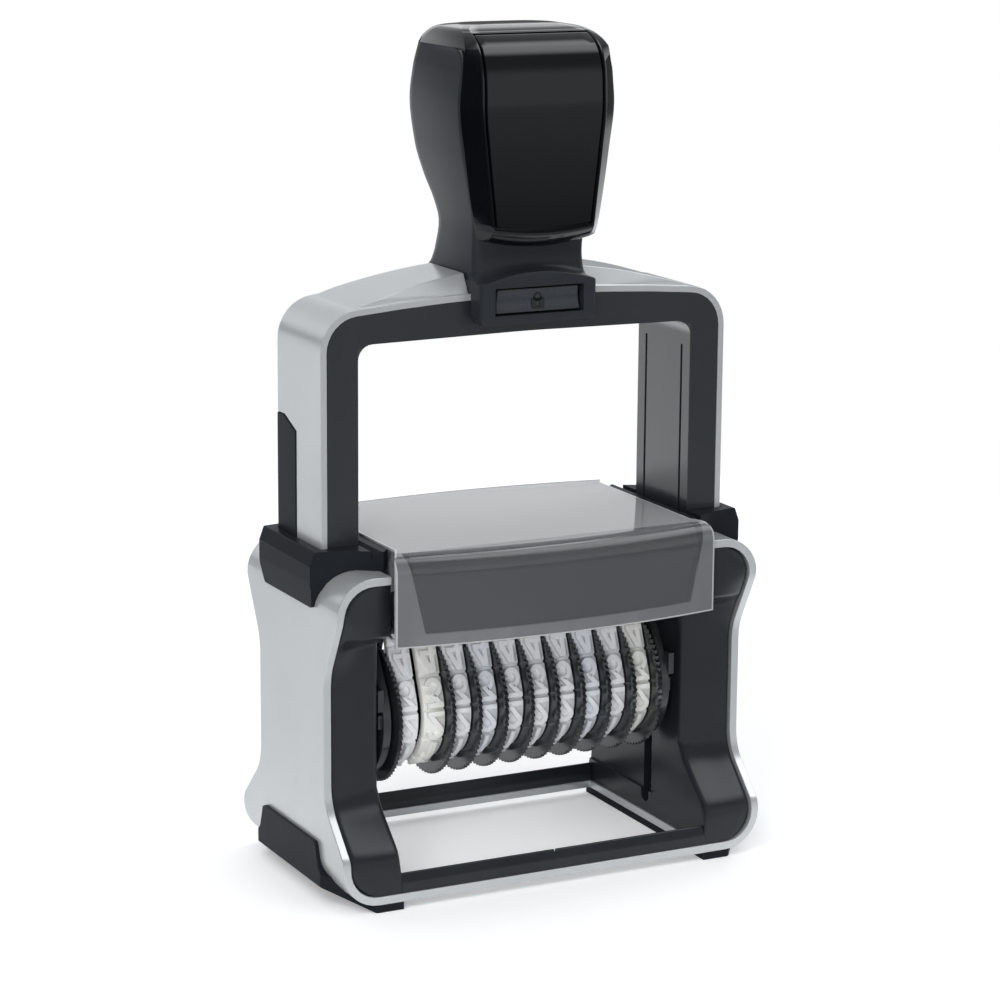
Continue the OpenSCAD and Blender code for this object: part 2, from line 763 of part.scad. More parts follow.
module cap_form() {
    h = head_w / 2;
    back = face_y + 5;
    loft([for (b = bezel) [for (p = rounded([
        [b[0], max(face_y, b[2] + 0.6), 0.8], [b[0], back, 0], [-b[0], back, 0], [-b[0], max(face_y, b[2] + 0.6), 0.8],
        [-b[1], b[2], 1.2], [b[1], b[2], 1.2]], 4)) [p.x, p.y, b[3]]]]);
    loft([
        level(h - 1.1, face_y + 1, head_d / 2 - 1.2, 2, 5, cap_z + seat_gap),
        level(h - 1.5, face_y + 2, head_d / 2 - 1.8, 2, 5, cap_z + 1.2),
        level(h - 2.4, face_y + 3, head_d / 2 - 3, 2, 5, cap_z + 2.4),
        level(h - 3.8, face_y + 4, head_d / 2 - 4.6, 2, 4.6, handle_top)]);
}

module handle_cap() {
    color([0.07, 0.08, 0.09]) difference() {
        cap_form();
        // Room for the body behind the bezel
        block([-head_w, face_y - seat_gap, 0], [head_w, head_d, cap_z + seat_gap]);
        front_panel(seat_gap, 1);
    }
}

// Front panel: a tapered plate set into the bezel and rolled back at the top
panel_t = 0.8;
panel_z0 = bezel_z0 + 1.6;
panel_z1 = handle_top - 1.6;
module front_panel(gap, proud) {
    intersection() {
        loft([for (i = [1:8]) let (b = bezel[i], w = b[1] - 0.3 + gap, y = b[2] - proud)
            [[w, y, b[3]], [w, b[2] + panel_t + gap, b[3]], [-w, b[2] + panel_t + gap, b[3]], [-w, y, b[3]]]]);
        along_y(-head_d, 0) polygon(rounded([
            [head_w / 2, panel_z1 + gap, 0], [-head_w / 2, panel_z1 + gap, 0],
            [-head_w / 2, panel_z0 + 1.6 - gap, 0], [0, panel_z0 - gap, 90], [head_w / 2, panel_z0 + 1.6 - gap, 0]], 8));
    }
}

module front_plate() {
    color([0.05, 0.05, 0.06]) front_panel(0, 0);
}

// Lock button: pushed in from the front
module lock_button() {
    y0 = -apron_y + 0.5;
    y1 = -bow_half - 0.5 - button_travel;
    color([0.25, 0.26, 0.27]) {
        along_y(y0, y1) polygon(rounded([
            [button_w / 2, button_z0, 0.6], [button_w / 2 - 0.4, button_z0 + button_h, 0.6],
            [-button_w / 2 + 0.4, button_z0 + button_h, 0.6], [-button_w / 2, button_z0, 0.6]], 4));
        // Stem that reaches into the lining
        block([-button_w / 4 + run_gap, y1 - 0.1, stem_z0],
              [button_w / 4 - run_gap, -bow_half + 0.6 - button_travel, stem_z1]);
    }
}

// Carrier

// Outline of the band loop, drawn in by an inset
loop_steps = 40;
nose_steps = 6;
function loop_outline(inset) =
    let (r = loop_r - inset, q = nose_r - min(inset, nose_r - 0.2),
         dz = nose_z - axle_z, nz = print_z - inset - q,
         lean = atan2(nz - axle_z, nose_y), span = norm([nose_y, nz - axle_z]),
         t = lean - acos((r - q) / span))
    concat(
        arc([0, axle_z], r, 180 - t, 360 + t, loop_steps),
        arc([nose_y, nz], q, t, 90, nose_steps),
        arc([-nose_y, nz], q, 90, 180 - t, nose_steps));

// Grooves between the cells, evenly spaced along the loop's outline from the middle of the printing face
module cell_grooves() {
    p = loop_outline(0);
    n = len(p);
    seg = [for (i = [0:n - 1]) norm(p[(i + 1) % n] - p[i])];
    function run(k) = k <= 0 ? 0 : run(k - 1) + seg[k - 1];
    sums = [for (i = [0:n]) run(i)];
    face = loop_steps + nose_steps + 1;
    middle = (sums[face] + sums[face + 1]) / 2;
    for (c = [0:cell_n - 1]) {
        s = (middle + sums[n] * (c + 0.5) / cell_n) % sums[n];
        i = [for (k = [0:n - 1]) if (sums[k] <= s && s < sums[k + 1]) k][0];
        d = unit(p[(i + 1) % n] - p[i]);
        translate(p[i] + d * (s - sums[i])) rotate(atan2(d.y, d.x))
            polygon([[-0.5, -0.3], [0.5, -0.3], [0.15, cell_groove], [-0.15, cell_groove]]);
    }
}

// Middle of band k along X
function band_x(k) = (k - (wheel_n + 1) / 2) * band_pitch;

module band(k) {
    color([0.93, 0.93, 0.92]) along_x(band_x(k) - band_w / 2, band_x(k) + band_w / 2) difference() {
        polygon(loop_outline(0));
        polygon(loop_outline(band_t));
        cell_grooves();
    }
}

// Number wheel: a toothed finger disc beside a hub that drives the band
module wheel(k) {
    side = k == 1 ? -1 : 1;
    hub_w = band_w - 0.2;
    color([0.17, 0.17, 0.18]) translate([band_x(k), 0, axle_z]) rotate([0, 90 * side, 0]) difference() {
        union() {
            translate([0, 0, -hub_w / 2]) cylinder(r = hub_r, h = hub_w / 2 + band_w / 2 + disc_gap + 0.1, $fn = 96);
            translate([0, 0, band_w / 2 + disc_gap]) linear_extrude(disc_t) polygon([
                for (i = [0:2 * disc_teeth - 1]) let (a = 180 * i / disc_teeth, r = disc_r - (i % 2) * tooth_h)
                    r * [cos(a), sin(a)]]);
        }
        translate([0, 0, -band_w]) cylinder(r = axle_r + shaft_gap, h = 2 * band_w + 2, $fn = 48);
    }
}

// Bar inside the bands that backs the printing face
bar_gap = 0.15;
module print_bar() {
    z0 = pivot_z + pivot_r + 0.8;
    color([0.3, 0.31, 0.32]) intersection() {
        along_x(-plate_in, plate_in) polygon(loop_outline(band_t + bar_gap));
        block([-plate_in, -loop_r, z0], [plate_in, loop_r, print_z]);
    }
}

// Side plate: carries the wheel axle and hangs on a pivot pin
plate_end_r = ledge_z0 - run_gap - pivot_z;
module carrier_plate() {
    difference() {
        union() {
            along_x(plate_in, plate_out) polygon(plate_outline());
            // Stop lugs on the outer side
            block([plate_out - 0.1, -10.6, axle_z + 2.6], [plate_out + lug_h, -7.6, axle_z + 6.4]);
            block([plate_out - 0.1, -10, axle_z - 0.6], [plate_out + lug_h * 0.7, -7.8, axle_z + 1.8]);
        }
        translate([plate_in - 1, 0, pivot_z]) rotate([0, 90, 0])
            cylinder(r = pivot_r + shaft_gap, h = plate_t + 4, $fn = 48);
        translate([plate_in - 1, 0, axle_z]) rotate([0, 90, 0])
            cylinder(r = axle_r + 0.02, h = plate_t + 4, $fn = 48);
    }
}

function plate_outline() =
    let (r = loop_r + 0.5, q = plate_end_r, t = 90 - acos((r - q) / axle_drop))
    concat(arc([0, axle_z], r, 180 - t, 360 + t, 28), arc([0, pivot_z], q, t, 180 - t, 12));

module carrier_plate_right() {
    color([0.2, 0.21, 0.22]) carrier_plate();
}

module carrier_plate_left() {
    color([0.2, 0.21, 0.22]) mirror([1, 0, 0]) carrier_plate();
}

module wheel_axle() {
    color("silver") translate([-plate_out, 0, axle_z]) rotate([0, 90, 0])
        cylinder(r = axle_r, h = 2 * plate_out, $fn = 48);
}

base_shell();
side_frame_left();
side_frame_right();
window_rails();
collar_left();
collar_right();
foot_left();
foot_right();
hood();
spring_left();
spring_right();
pad_cassette();
ink_pad();
bow_strap();
bow_lining();
leg_strip_left();
leg_strip_right();
handle_body();
handle_cap();
front_plate();
lock_button();
pivot_pin_left();
pivot_pin_right();
carrier_plate_left();
carrier_plate_right();
wheel_axle();
print_bar();
band(1);  // band_01
band(2);  // band_02
band(3);  // band_03
band(4);  // band_04
band(5);  // band_05
band(6);  // band_06
band(7);  // band_07
band(8);  // band_08
band(9);  // band_09
band(10);  // band_10
wheel(1);  // wheel_01
wheel(2);  // wheel_02
wheel(3);  // wheel_03
wheel(4);  // wheel_04
wheel(5);  // wheel_05
wheel(6);  // wheel_06
wheel(7);  // wheel_07
wheel(8);  // wheel_08
wheel(9);  // wheel_09
wheel(10);  // wheel_10
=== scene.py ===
# Number stamp: the looks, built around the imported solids.
# Metres, +Z up, front towards -Y. Sizes in the dictionaries are millimetres.
import math
import bpy
import bmesh
from mathutils import Matrix, Vector


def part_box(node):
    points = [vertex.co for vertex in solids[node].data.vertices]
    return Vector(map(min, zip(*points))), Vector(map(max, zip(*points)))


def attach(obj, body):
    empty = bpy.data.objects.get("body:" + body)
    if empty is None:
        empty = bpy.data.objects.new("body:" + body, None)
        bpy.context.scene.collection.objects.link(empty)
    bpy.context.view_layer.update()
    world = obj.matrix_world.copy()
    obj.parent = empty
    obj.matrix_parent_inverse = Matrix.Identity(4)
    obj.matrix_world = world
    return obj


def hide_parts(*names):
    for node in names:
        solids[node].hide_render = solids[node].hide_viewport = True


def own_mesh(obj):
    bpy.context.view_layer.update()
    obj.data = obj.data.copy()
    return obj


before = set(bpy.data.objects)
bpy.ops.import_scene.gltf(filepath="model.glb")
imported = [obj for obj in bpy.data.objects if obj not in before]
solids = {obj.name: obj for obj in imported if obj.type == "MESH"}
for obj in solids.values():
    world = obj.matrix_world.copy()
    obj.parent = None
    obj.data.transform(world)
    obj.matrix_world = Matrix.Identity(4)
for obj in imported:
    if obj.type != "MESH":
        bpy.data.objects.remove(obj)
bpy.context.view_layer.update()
mm = 0.001
beyond = 100  # the far end of a cutter, outside every piece it cuts
sides = (("left", -1), ("right", 1))
print("frame loaded:", len(solids), "solids")


# Selecting and finishing

def deselectAll():
    if bpy.context.object and bpy.context.object.mode != "OBJECT":
        bpy.ops.object.mode_set(mode="OBJECT")
    bpy.ops.object.select_all(action="DESELECT")


def pick(piece):
    deselectAll()
    piece.select_set(True)
    bpy.context.view_layer.objects.active = piece


def editOn(piece):
    pick(piece)
    bpy.ops.object.mode_set(mode="EDIT")
    bpy.ops.mesh.select_all(action="SELECT")


def editOff():
    bpy.ops.object.mode_set(mode="OBJECT")


# Turns all faces outwards before leaving edit mode
def closeShell():
    bpy.ops.mesh.select_all(action="SELECT")
    bpy.ops.mesh.normals_make_consistent(inside=False)
    editOff()


def joinPieces(piece, others):
    pick(piece)
    for other in others:
        other.select_set(True)
    bpy.ops.object.join()


def applyModifiers(piece):
    pick(piece)
    for name in [m.name for m in piece.modifiers]:
        bpy.ops.object.modifier_apply(modifier=name)


def smoothShade(piece, angle=38, weighted=True):
    pick(piece)
    bpy.ops.object.shade_smooth_by_angle(angle=math.radians(angle))
    if weighted:  # keeps large flat faces flat beside their rounded edges
        weight = piece.modifiers.new("weight", "WEIGHTED_NORMAL")
        weight.keep_sharp = True
        applyModifiers(piece)


def softEdges(piece, width, segments=3, angle=40):
    bevel = piece.modifiers.new("soft", "BEVEL")
    bevel.width = width * mm
    bevel.segments = segments
    bevel.limit_method = "ANGLE"
    bevel.angle_limit = math.radians(angle)
    bevel.use_clamp_overlap = True
    bevel.miter_outer = "MITER_ARC"
    applyModifiers(piece)


def cutWith(piece, cutter):
    cut = piece.modifiers.new("cut", "BOOLEAN")
    cut.operation = "DIFFERENCE"
    cut.solver = "EXACT"
    cut.object = cutter
    applyModifiers(piece)
    bpy.data.objects.remove(cutter)


def dress(piece, body, material, slot, *replaced):
    piece.data.materials.clear()
    piece.data.materials.append(material)
    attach(piece, body)
    if replaced:
        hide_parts(*replaced)


# Starting shapes

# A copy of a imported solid: its loose triangles are joined and its flat faces made whole
def traceSolid(node, name, flatAngle=0.4):
    piece = bpy.data.objects.new(name, solids[node].data.copy())
    bpy.context.scene.collection.objects.link(piece)
    pick(piece)
    bpy.ops.mesh.customdata_custom_splitnormals_clear()
    editOn(piece)
    bpy.ops.mesh.remove_doubles(threshold=0.00001)
    bpy.ops.mesh.mark_sharp(clear=True)
    # seams through the middle keep a flat face with a hole in it from closing over
    low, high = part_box(node)
    for across in ((1, 0, 0), (0, 1, 0), (0, 0, 1)):
        bpy.ops.mesh.select_all(action="SELECT")
        bpy.ops.mesh.bisect(plane_co=(low + high) / 2, plane_no=across)
        bpy.ops.mesh.mark_seam(clear=False)
    bpy.ops.mesh.select_all(action="SELECT")
    bpy.ops.mesh.dissolve_limited(angle_limit=math.radians(flatAngle), delimit={"SEAM"})
    editOff()
    return piece


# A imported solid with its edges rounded, and with any cutters taken out of it
def dressSolid(node, name, body, plan, *cutters):
    piece = traceSolid(node, name)
    softEdges(piece, plan["edge"], plan.get("segments", 3))
    for cutter in cutters:
        cutWith(piece, cutter)
    smoothShade(piece)
    dress(piece, body, plan["material"], plan["slot"], node)


# Outline of (a, b, radius) corners, each rounded by an arc of steps + 1 points
def roundedOutline(corners, steps):
    outline = []
    count = len(corners)
    for i in range(count):
        before, here, after = (Vector(corners[(i + k) % count][:2]) for k in (-1, 0, 1))
        u, v = (before - here).normalized(), (after - here).normalized()
        half = math.acos(max(-1, min(1, u.dot(v)))) / 2
        radius = max(corners[i][2], 0.02)
        middle = here + (u + v).normalized() * (radius / math.sin(half))
        start = here + u * (radius / math.tan(half)) - middle
        end = here + v * (radius / math.tan(half)) - middle
        first = math.atan2(start.y, start.x)
        turn = (math.atan2(end.y, end.x) - first + 3 * math.pi) % (2 * math.pi) - math.pi
        for k in range(steps + 1):
            a = first + turn * k / steps
            outline.append(middle + radius * Vector((math.cos(a), math.sin(a))))
    return outline


# Values of a table of (height, ...) rows at one height, along a curve that never overshoots its rows
def readLevels(rows, z):
    z = min(max(z, rows[0][0]), rows[-1][0])
    i = max(k for k in range(len(rows) - 1) if rows[k][0] <= z)
    h = rows[i + 1][0] - rows[i][0]
    t = (z - rows[i][0]) / h

    def slope(k, c):
        return (rows[k + 1][c] - rows[k][c]) / (rows[k + 1][0] - rows[k][0])

    def tangent(k, c):
        if k in (0, len(rows) - 1):
            return slope(min(k, len(rows) - 2), c)
        a, b = slope(k - 1, c), slope(k, c)
        return 0 if a * b <= 0 else 2 * a * b / (a + b)

    values = []
    for c in range(1, len(rows[0])):
        p0, p1 = rows[i][c], rows[i + 1][c]
        m0, m1 = tangent(i, c) * h, tangent(i + 1, c) * h
        values.append((2 * t ** 3 - 3 * t ** 2 + 1) * p0 + (t ** 3 - 2 * t ** 2 + t) * m0
                      + (3 * t ** 2 - 2 * t ** 3) * p1 + (t ** 3 - t ** 2) * m1)
    return values


# Heights of the rows, with each step between two rows divided
def heightsOf(rows, perLevel):
    heights = []
    for a, b in zip(rows, rows[1:]):
        heights += [a[0] + (b[0] - a[0]) * k / perLevel for k in range(perLevel)]
    return heights + [rows[-1][0]]


# A soft step from 0 to 1
def ramp(low, high, value):
    share = max(0, min(1, (value - low) / (high - low)))
    return share * share * (3 - 2 * share)


# A circle in edit mode with numbered corners, of any size because placeRing moves them
def startRing(name, count, fill):
    deselectAll()
    bpy.ops.mesh.primitive_circle_add(vertices=count, radius=0.01, fill_type=fill)
    piece = bpy.context.object
    piece.name = name
    bpy.ops.object.mode_set(mode="EDIT")
    mesh = bmesh.from_edit_mesh(piece.data)
    tag = mesh.verts.layers.int.new("tag")
    for v in mesh.verts:
        v[tag] = v.index
    return piece


# Moves the selected ring of an edit mesh to its outline, in millimetres
def placeRing(piece, ring):
    mesh = bmesh.from_edit_mesh(piece.data)
    tag = mesh.verts.layers.int["tag"]
    for v in mesh.verts:
        if v.select:
            v.co = Vector(ring[v[tag]]) * mm
    bmesh.update_edit_mesh(piece.data)


# A filled circle whose rim is extruded ring by ring, each set to the next outline
def growRings(name, rings):
    piece = startRing(name, len(rings[0]), "NGON")
    placeRing(piece, rings[0])
    for ring in rings[1:]:
        bpy.ops.mesh.extrude_region_move()
        placeRing(piece, ring)
    closeShell()
    return piece


# An outline drawn out along axis 0, 1 or 2
def prism(name, axis, outline, start, end):
    def corner(point, along):
        place = [point[0], point[1]]
        place.insert(axis, along)
        return place

    return growRings(name, [[corner(p, along) for p in outline] for along in (start, end)])


def addBlock(name, corner, opposite):
    deselectAll()
    middle = [(a + b) / 2 * mm for a, b in zip(corner, opposite)]
    bpy.ops.mesh.primitive_cube_add(size=1, location=middle)
    block = bpy.context.object
    block.name = name
    block.scale = [abs(b - a) * mm for a, b in zip(corner, opposite)]
    bpy.ops.object.transform_apply(location=True, rotation=True, scale=True)
    return block


def copyAt(piece, name, shift):
    twin = bpy.data.objects.new(name, piece.data.copy())
    bpy.context.scene.collection.objects.link(twin)
    editOn(twin)
    bpy.ops.transform.translate(value=shift)
    editOff()
    return twin


# Shader nodes

# A socket of another node is linked, anything else is written on the socket itself
def feed(tree, socket, value):
    if isinstance(value, bpy.types.NodeSocket):
        tree.links.new(value, socket)
    else:
        socket.default_value = value


def mathNode(tree, operation, *values):
    node = tree.nodes.new("ShaderNodeMath")
    node.operation = operation
    for socket, value in zip(node.inputs, values):
        feed(tree, socket, value)
    return node.outputs["Value"]


def rangeNode(tree, value, span, result=(0, 1), blend="SMOOTHSTEP"):
    node = tree.nodes.new("ShaderNodeMapRange")
    node.interpolation_type = blend
    for name, number in zip(("From Min", "From Max", "To Min", "To Max"), (*span, *result)):
        node.inputs[name].default_value = number
    tree.links.new(value, node.inputs["Value"])
    return node.outputs["Result"]


def mixColours(tree, factor, first, second):
    node = tree.nodes.new("ShaderNodeMix")
    node.data_type = "RGBA"
    for name, value in (("Factor", factor), ("A", first), ("B", second)):
        feed(tree, node.inputs[name], value)
    return node.outputs["Result"]


# The x, y and z of a coordinate
def axesOf(tree, coordinate):
    split = tree.nodes.new("ShaderNodeSeparateXYZ")
    tree.links.new(tree.nodes.new("ShaderNodeTexCoord").outputs[coordinate], split.inputs["Vector"])
    return [split.outputs[axis] for axis in "XYZ"]


# Materials, all read on Object coordinates

def newMaterial(name, recipe):
    material = bpy.data.materials.new(name)
    material.use_nodes = True
    tree = material.node_tree
    shader = tree.nodes["Principled BSDF"]
    for socket, key, usual in (("Metallic", "metallic", 0), ("IOR", "ior", 1.46), ("Coat Weight", "coat", 0),
                               ("Transmission Weight", "clear", 0), ("Sheen Weight", "sheen", 0)):
        shader.inputs[socket].default_value = recipe.get(key, usual)
    where = tree.nodes.new("ShaderNodeTexCoord")
    stretch = tree.nodes.new("ShaderNodeMapping")
    stretch.inputs["Scale"].default_value = recipe.get("stretch", (1, 1, 1))
    tree.links.new(where.outputs["Object"], stretch.inputs["Vector"])

    def noise(scale, detail):
        texture = tree.nodes.new("ShaderNodeTexNoise")
        texture.inputs["Scale"].default_value = scale
        texture.inputs["Detail"].default_value = detail
        tree.links.new(stretch.outputs["Vector"], texture.inputs["Vector"])
        return texture.outputs["Fac"]

    clouds = noise(recipe["clouds"], 3)
    grain = noise(recipe["grain"], 2)
    tint = tree.nodes.new("ShaderNodeValToRGB")
    for stop, place, key in zip(tint.color_ramp.elements, (0.35, 0.65), ("low", "high")):
        stop.position = place
        stop.color = (*recipe[key], 1)
    tree.links.new(clouds, tint.inputs["Fac"])
    tree.links.new(tint.outputs["Color"], shader.inputs["Base Color"])
    rough = rangeNode(tree, grain, (0, 1), recipe["rough"], "LINEAR")
    tree.links.new(rough, shader.inputs["Roughness"])
    if "bump" in recipe:
        bump = tree.nodes.new("ShaderNodeBump")
        bump.inputs["Strength"].default_value = recipe["bump"]
        bump.inputs["Distance"].default_value = recipe["bumpDepth"] * mm
        tree.links.new(grain, bump.inputs["Height"])
        tree.links.new(bump.outputs["Normal"], shader.inputs["Normal"])
    return material


satinSilver = newMaterial("satin_silver", {
    "low": (0.70, 0.722, 0.735), "high": (0.735, 0.755, 0.765), "metallic": 0.66, "rough": (0.27, 0.31),
    "clouds": 60, "grain": 2400, "bump": 0.012, "bumpDepth": 0.01})
blackPlastic = newMaterial("black_plastic", {
    "low": (0.0135, 0.0158, 0.0200), "high": (0.0165, 0.0190, 0.0235), "rough": (0.275, 0.29), "ior": 1.50,
    "clouds": 80, "grain": 1100, "bump": 0.01, "bumpDepth": 0.01})
gripPlastic = newMaterial("grip_plastic", {
    "low": (0.0190, 0.0218, 0.0265), "high": (0.0225, 0.0255, 0.0305), "rough": (0.28, 0.36), "ior": 1.36,
    "clouds": 60, "grain": 3000, "bump": 0.06, "bumpDepth": 0.02})
deepPlastic = newMaterial("deep_plastic", {
    "low": (0.0125, 0.0148, 0.0190), "high": (0.0150, 0.0175, 0.0220), "rough": (0.32, 0.40), "ior": 1.16,
    "clouds": 80, "grain": 2600, "bump": 0.08, "bumpDepth": 0.03})
bowPlastic = newMaterial("bow_plastic", {
    "low": (0.0120, 0.0145, 0.0185), "high": (0.0145, 0.0170, 0.0215), "rough": (0.26, 0.34), "ior": 1.80,
    "clouds": 70, "grain": 2600, "stretch": (1, 1, 0.2), "bump": 0.06, "bumpDepth": 0.02})
keyPlastic = newMaterial("key_plastic", {
    "low": (0.030, 0.034, 0.040), "high": (0.036, 0.040, 0.047), "rough": (0.22, 0.30),
    "clouds": 90, "grain": 2600, "bump": 0.05, "bumpDepth": 0.02})
glossBlack = newMaterial("gloss_black", {
    "low": (0.0022, 0.0026, 0.0036), "high": (0.0030, 0.0035, 0.0046), "rough": (0.07, 0.10),
    "clouds": 40, "grain": 1200, "coat": 0.5})
smokeClear = newMaterial("smoke_clear", {
    "low": (0.255, 0.255, 0.27), "high": (0.275, 0.275, 0.29), "rough": (0.04, 0.07),
    "clouds": 40, "grain": 900, "clear": 0.95, "ior": 1.62})
trayPlastic = newMaterial("tray_plastic", {
    "low": (0.13, 0.13, 0.137), "high": (0.145, 0.145, 0.152), "rough": (0.45, 0.55),
    "clouds": 80, "grain": 2200, "bump": 0.08, "bumpDepth": 0.03})
wheelPlastic = newMaterial("wheel_plastic", {
    "low": (0.018, 0.020, 0.023), "high": (0.026, 0.028, 0.031), "rough": (0.14, 0.24), "ior": 1.75,
    "clouds": 120, "grain": 2400, "bump": 0.08, "bumpDepth": 0.02})
brightSteel = newMaterial("bright_steel", {
    "low": (0.55, 0.55, 0.56), "high": (0.62, 0.62, 0.63), "metallic": 1, "rough": (0.20, 0.32),
    "clouds": 200, "grain": 3000, "stretch": (0.2, 1, 1)})
inkFelt = newMaterial("ink_felt", {
    "low": (0.010, 0.010, 0.022), "high": (0.022, 0.022, 0.040), "rough": (0.85, 0.95),
    "clouds": 500, "grain": 4200, "bump": 0.6, "bumpDepth": 0.12, "sheen": 0.3})
rubberTints = [
    newMaterial("rubber_" + name, {
        "low": low, "high": high, "rough": (0.50, 0.62), "clouds": 260, "grain": 3400,
        "bump": 0.10, "bumpDepth": 0.03})
    for name, low, high in (
        ("plain", (0.84, 0.85, 0.86), (0.89, 0.90, 0.91)),
        ("warm", (0.86, 0.855, 0.82), (0.90, 0.895, 0.86)),
        ("cool", (0.81, 0.83, 0.88), (0.86, 0.88, 0.92)))]

# The hood is clear in the window of its front and frosted round it; its top is painted pale, a painted
# reflection
hoodWindow = {
    "half": 25.1, "flare": 0.23, "low": 47.1, "high": 60.6, "front": -18.6, "clear": 0.82, "frost": 0.50,
    "top": 60.0, "paintedTopReflection": (0.66, 0.665, 0.68, 1)}
# Its rims get a painted highlight: their colour is mixed towards white and made less clear
hoodRimHighlight = {
    "half": 29.8, "top": 59.85, "low": 45.15, "front": -18.0, "flareFrom": (16.1, 20.6),
    "flareTo": (27.7, 29.8), "white": 0.45, "colour": (0.93, 0.94, 0.95, 1)}


# Clear or frosted by transmission, with a painted highlight on the rims and a painted reflection on top
def frostHoodAndPaintHighlights(tree):
    shader = tree.nodes["Principled BSDF"]
    x, y, z = axesOf(tree, "Object")
    across = mathNode(tree, "ABSOLUTE", x)

    def below(value, limit):
        return mathNode(tree, "LESS_THAN", value, limit)

    def above(value, limit):
        return mathNode(tree, "GREATER_THAN", value, limit)

    def both(first, second):
        return mathNode(tree, "MULTIPLY", first, second)

    def either(first, second):
        return mathNode(tree, "MAXIMUM", first, second)

    low = hoodWindow["low"] * mm
    flare = mathNode(tree, "MULTIPLY", mathNode(tree, "SUBTRACT", z, low), hoodWindow["flare"])
    inWidth = below(across, mathNode(tree, "ADD", flare, hoodWindow["half"] * mm))
    inHeight = both(above(z, low), below(z, hoodWindow["high"] * mm))
    window = both(both(inWidth, below(y, hoodWindow["front"] * mm)), inHeight)
    extra = mathNode(tree, "MULTIPLY", window, hoodWindow["clear"] - hoodWindow["frost"])
    clearness = mathNode(tree, "ADD", extra, hoodWindow["frost"])

    # where the rims get a painted highlight, which is paler and less clear
    flareSpan, flareReach = ([v * mm for v in hoodRimHighlight[key]] for key in ("flareFrom", "flareTo"))
    topEdge = rangeNode(tree, mathNode(tree, "ABSOLUTE", y), flareSpan, flareReach, "LINEAR")
    inFront = below(y, hoodRimHighlight["front"] * mm)
    rimSide = both(above(across, hoodRimHighlight["half"] * mm), inFront)
    rimLow = both(below(z, hoodRimHighlight["low"] * mm), inFront)
    rimTop = both(above(across, topEdge), above(z, hoodRimHighlight["top"] * mm))
    rim = mathNode(tree, "MULTIPLY", either(rimTop, either(rimSide, rimLow)), hoodRimHighlight["white"])

    clearness = mathNode(tree, "MULTIPLY", clearness, mathNode(tree, "SUBTRACT", 1, rim))
    tree.links.new(clearness, shader.inputs["Transmission Weight"])
    smoke = tree.nodes["Color Ramp"].outputs["Color"]
    # painted reflection: the top of the hood is painted paler than the smoke
    pale = mixColours(tree, above(z, hoodWindow["top"] * mm), smoke, hoodWindow["paintedTopReflection"])
    # painted highlight: the rims are mixed towards white
    tree.links.new(mixColours(tree, rim, pale, hoodRimHighlight["colour"]), shader.inputs["Base Color"])


# The inner faces of the bow's legs are polished by sliding
polish = {"inner": 31.5, "top": 93.0, "ior": 2.15, "rough": 0.22}


def polishLegs(tree):
    shader = tree.nodes["Principled BSDF"]
    x, y, z = axesOf(tree, "Object")
    inside = mathNode(tree, "LESS_THAN", mathNode(tree, "ABSOLUTE", x), polish["inner"] * mm)
    onLeg = mathNode(tree, "LESS_THAN", z, polish["top"] * mm)
    tree.links.new(mathNode(tree, "MULTIPLY", inside, onLeg), shader.inputs["Coat Weight"])
    shader.inputs["Coat IOR"].default_value = polish["ior"]
    shader.inputs["Coat Roughness"].default_value = polish["rough"]


frostHoodAndPaintHighlights(smokeClear.node_tree)
polishLegs(bowPlastic.node_tree)
print("materials made:", len(bpy.data.materials))


# Base: sheet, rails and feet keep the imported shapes, with their edges rounded

sheetRing = {"edge": 0.3, "material": satinSilver, "slot": "silver"}
ringRails = {"edge": 0.35, "material": blackPlastic, "slot": "black_plastic",
             "grooveHalf": 0.2, "groove": 5.35}
cornerFoot = {"edge": 0.3, "material": deepPlastic, "slot": "black_plastic"}

dressSolid("base_shell", "sheet_ring", "base", sheetRing)
# a centring groove, in the front rail only
grooveCutter = addBlock("groove_cutter", (-ringRails["grooveHalf"], -beyond, ringRails["groove"]),
                        (ringRails["grooveHalf"], 0, beyond))
dressSolid("window_rails", "ring_rails", "base", ringRails, grooveCutter)
for side, sign in sides:
    dressSolid("foot_" + side, "corner_foot_" + side, "base", cornerFoot)
print("sheet, rails and feet made")


# Side frames: moulded channels whose cheek under the shoulder rolls into the column below it

frames = {
    "inner": 29.2, "outer": 38.45, "low": 2.72, "high": 55.22, "bend": 5.15, "bendEnds": (2.70, 55.25),
    "lean": 1.1, "leanFrom": (6.5, 17), "footTop": 18, "waist": 13.3, "cheekHalf": 18.85, "swell": 0.9,
    "cheek": (43.4, 46.6), "innerRound": 1.0, "innerRoundFrom": (5, 9), "outerRound": 1.1,
    "rows": 60, "cheekRows": 13, "cheekStep": 0.27, "edgeRows": (2.87, 55.07, 54.82),
    "outline": [(0, 0, 0), (21.35, 0, 0), (21.35, 9.3, 3), (13.3, 17.35, 8), (13.3, 39.455, 10),
                (18.85, 50.0, 6), (18.85, 57.7, 0), (0, 57.7, 0)],
    "channel": (31.1, 9.4, 3.5), "slotHalf": 1.35, "slotRound": 1.34, "slot": (5.8, 39.5), "recess": 29.7,
    "recessOutline": [(-4, 6.7, 2), (-4, 16.5, 20), (-9, 32.5, 12), (-9, 43, 2), (24, 43, 2), (24, 6.7, 2)],
    "ledgeOuter": 29.6, "ledgeHalf": 12.2, "ledge": (45, 46.2), "ledgeEdge": 0.15, "arcSteps": 8}
frameSide = [p for p in roundedOutline(frames["outline"], frames["arcSteps"]) if p.x > 5]


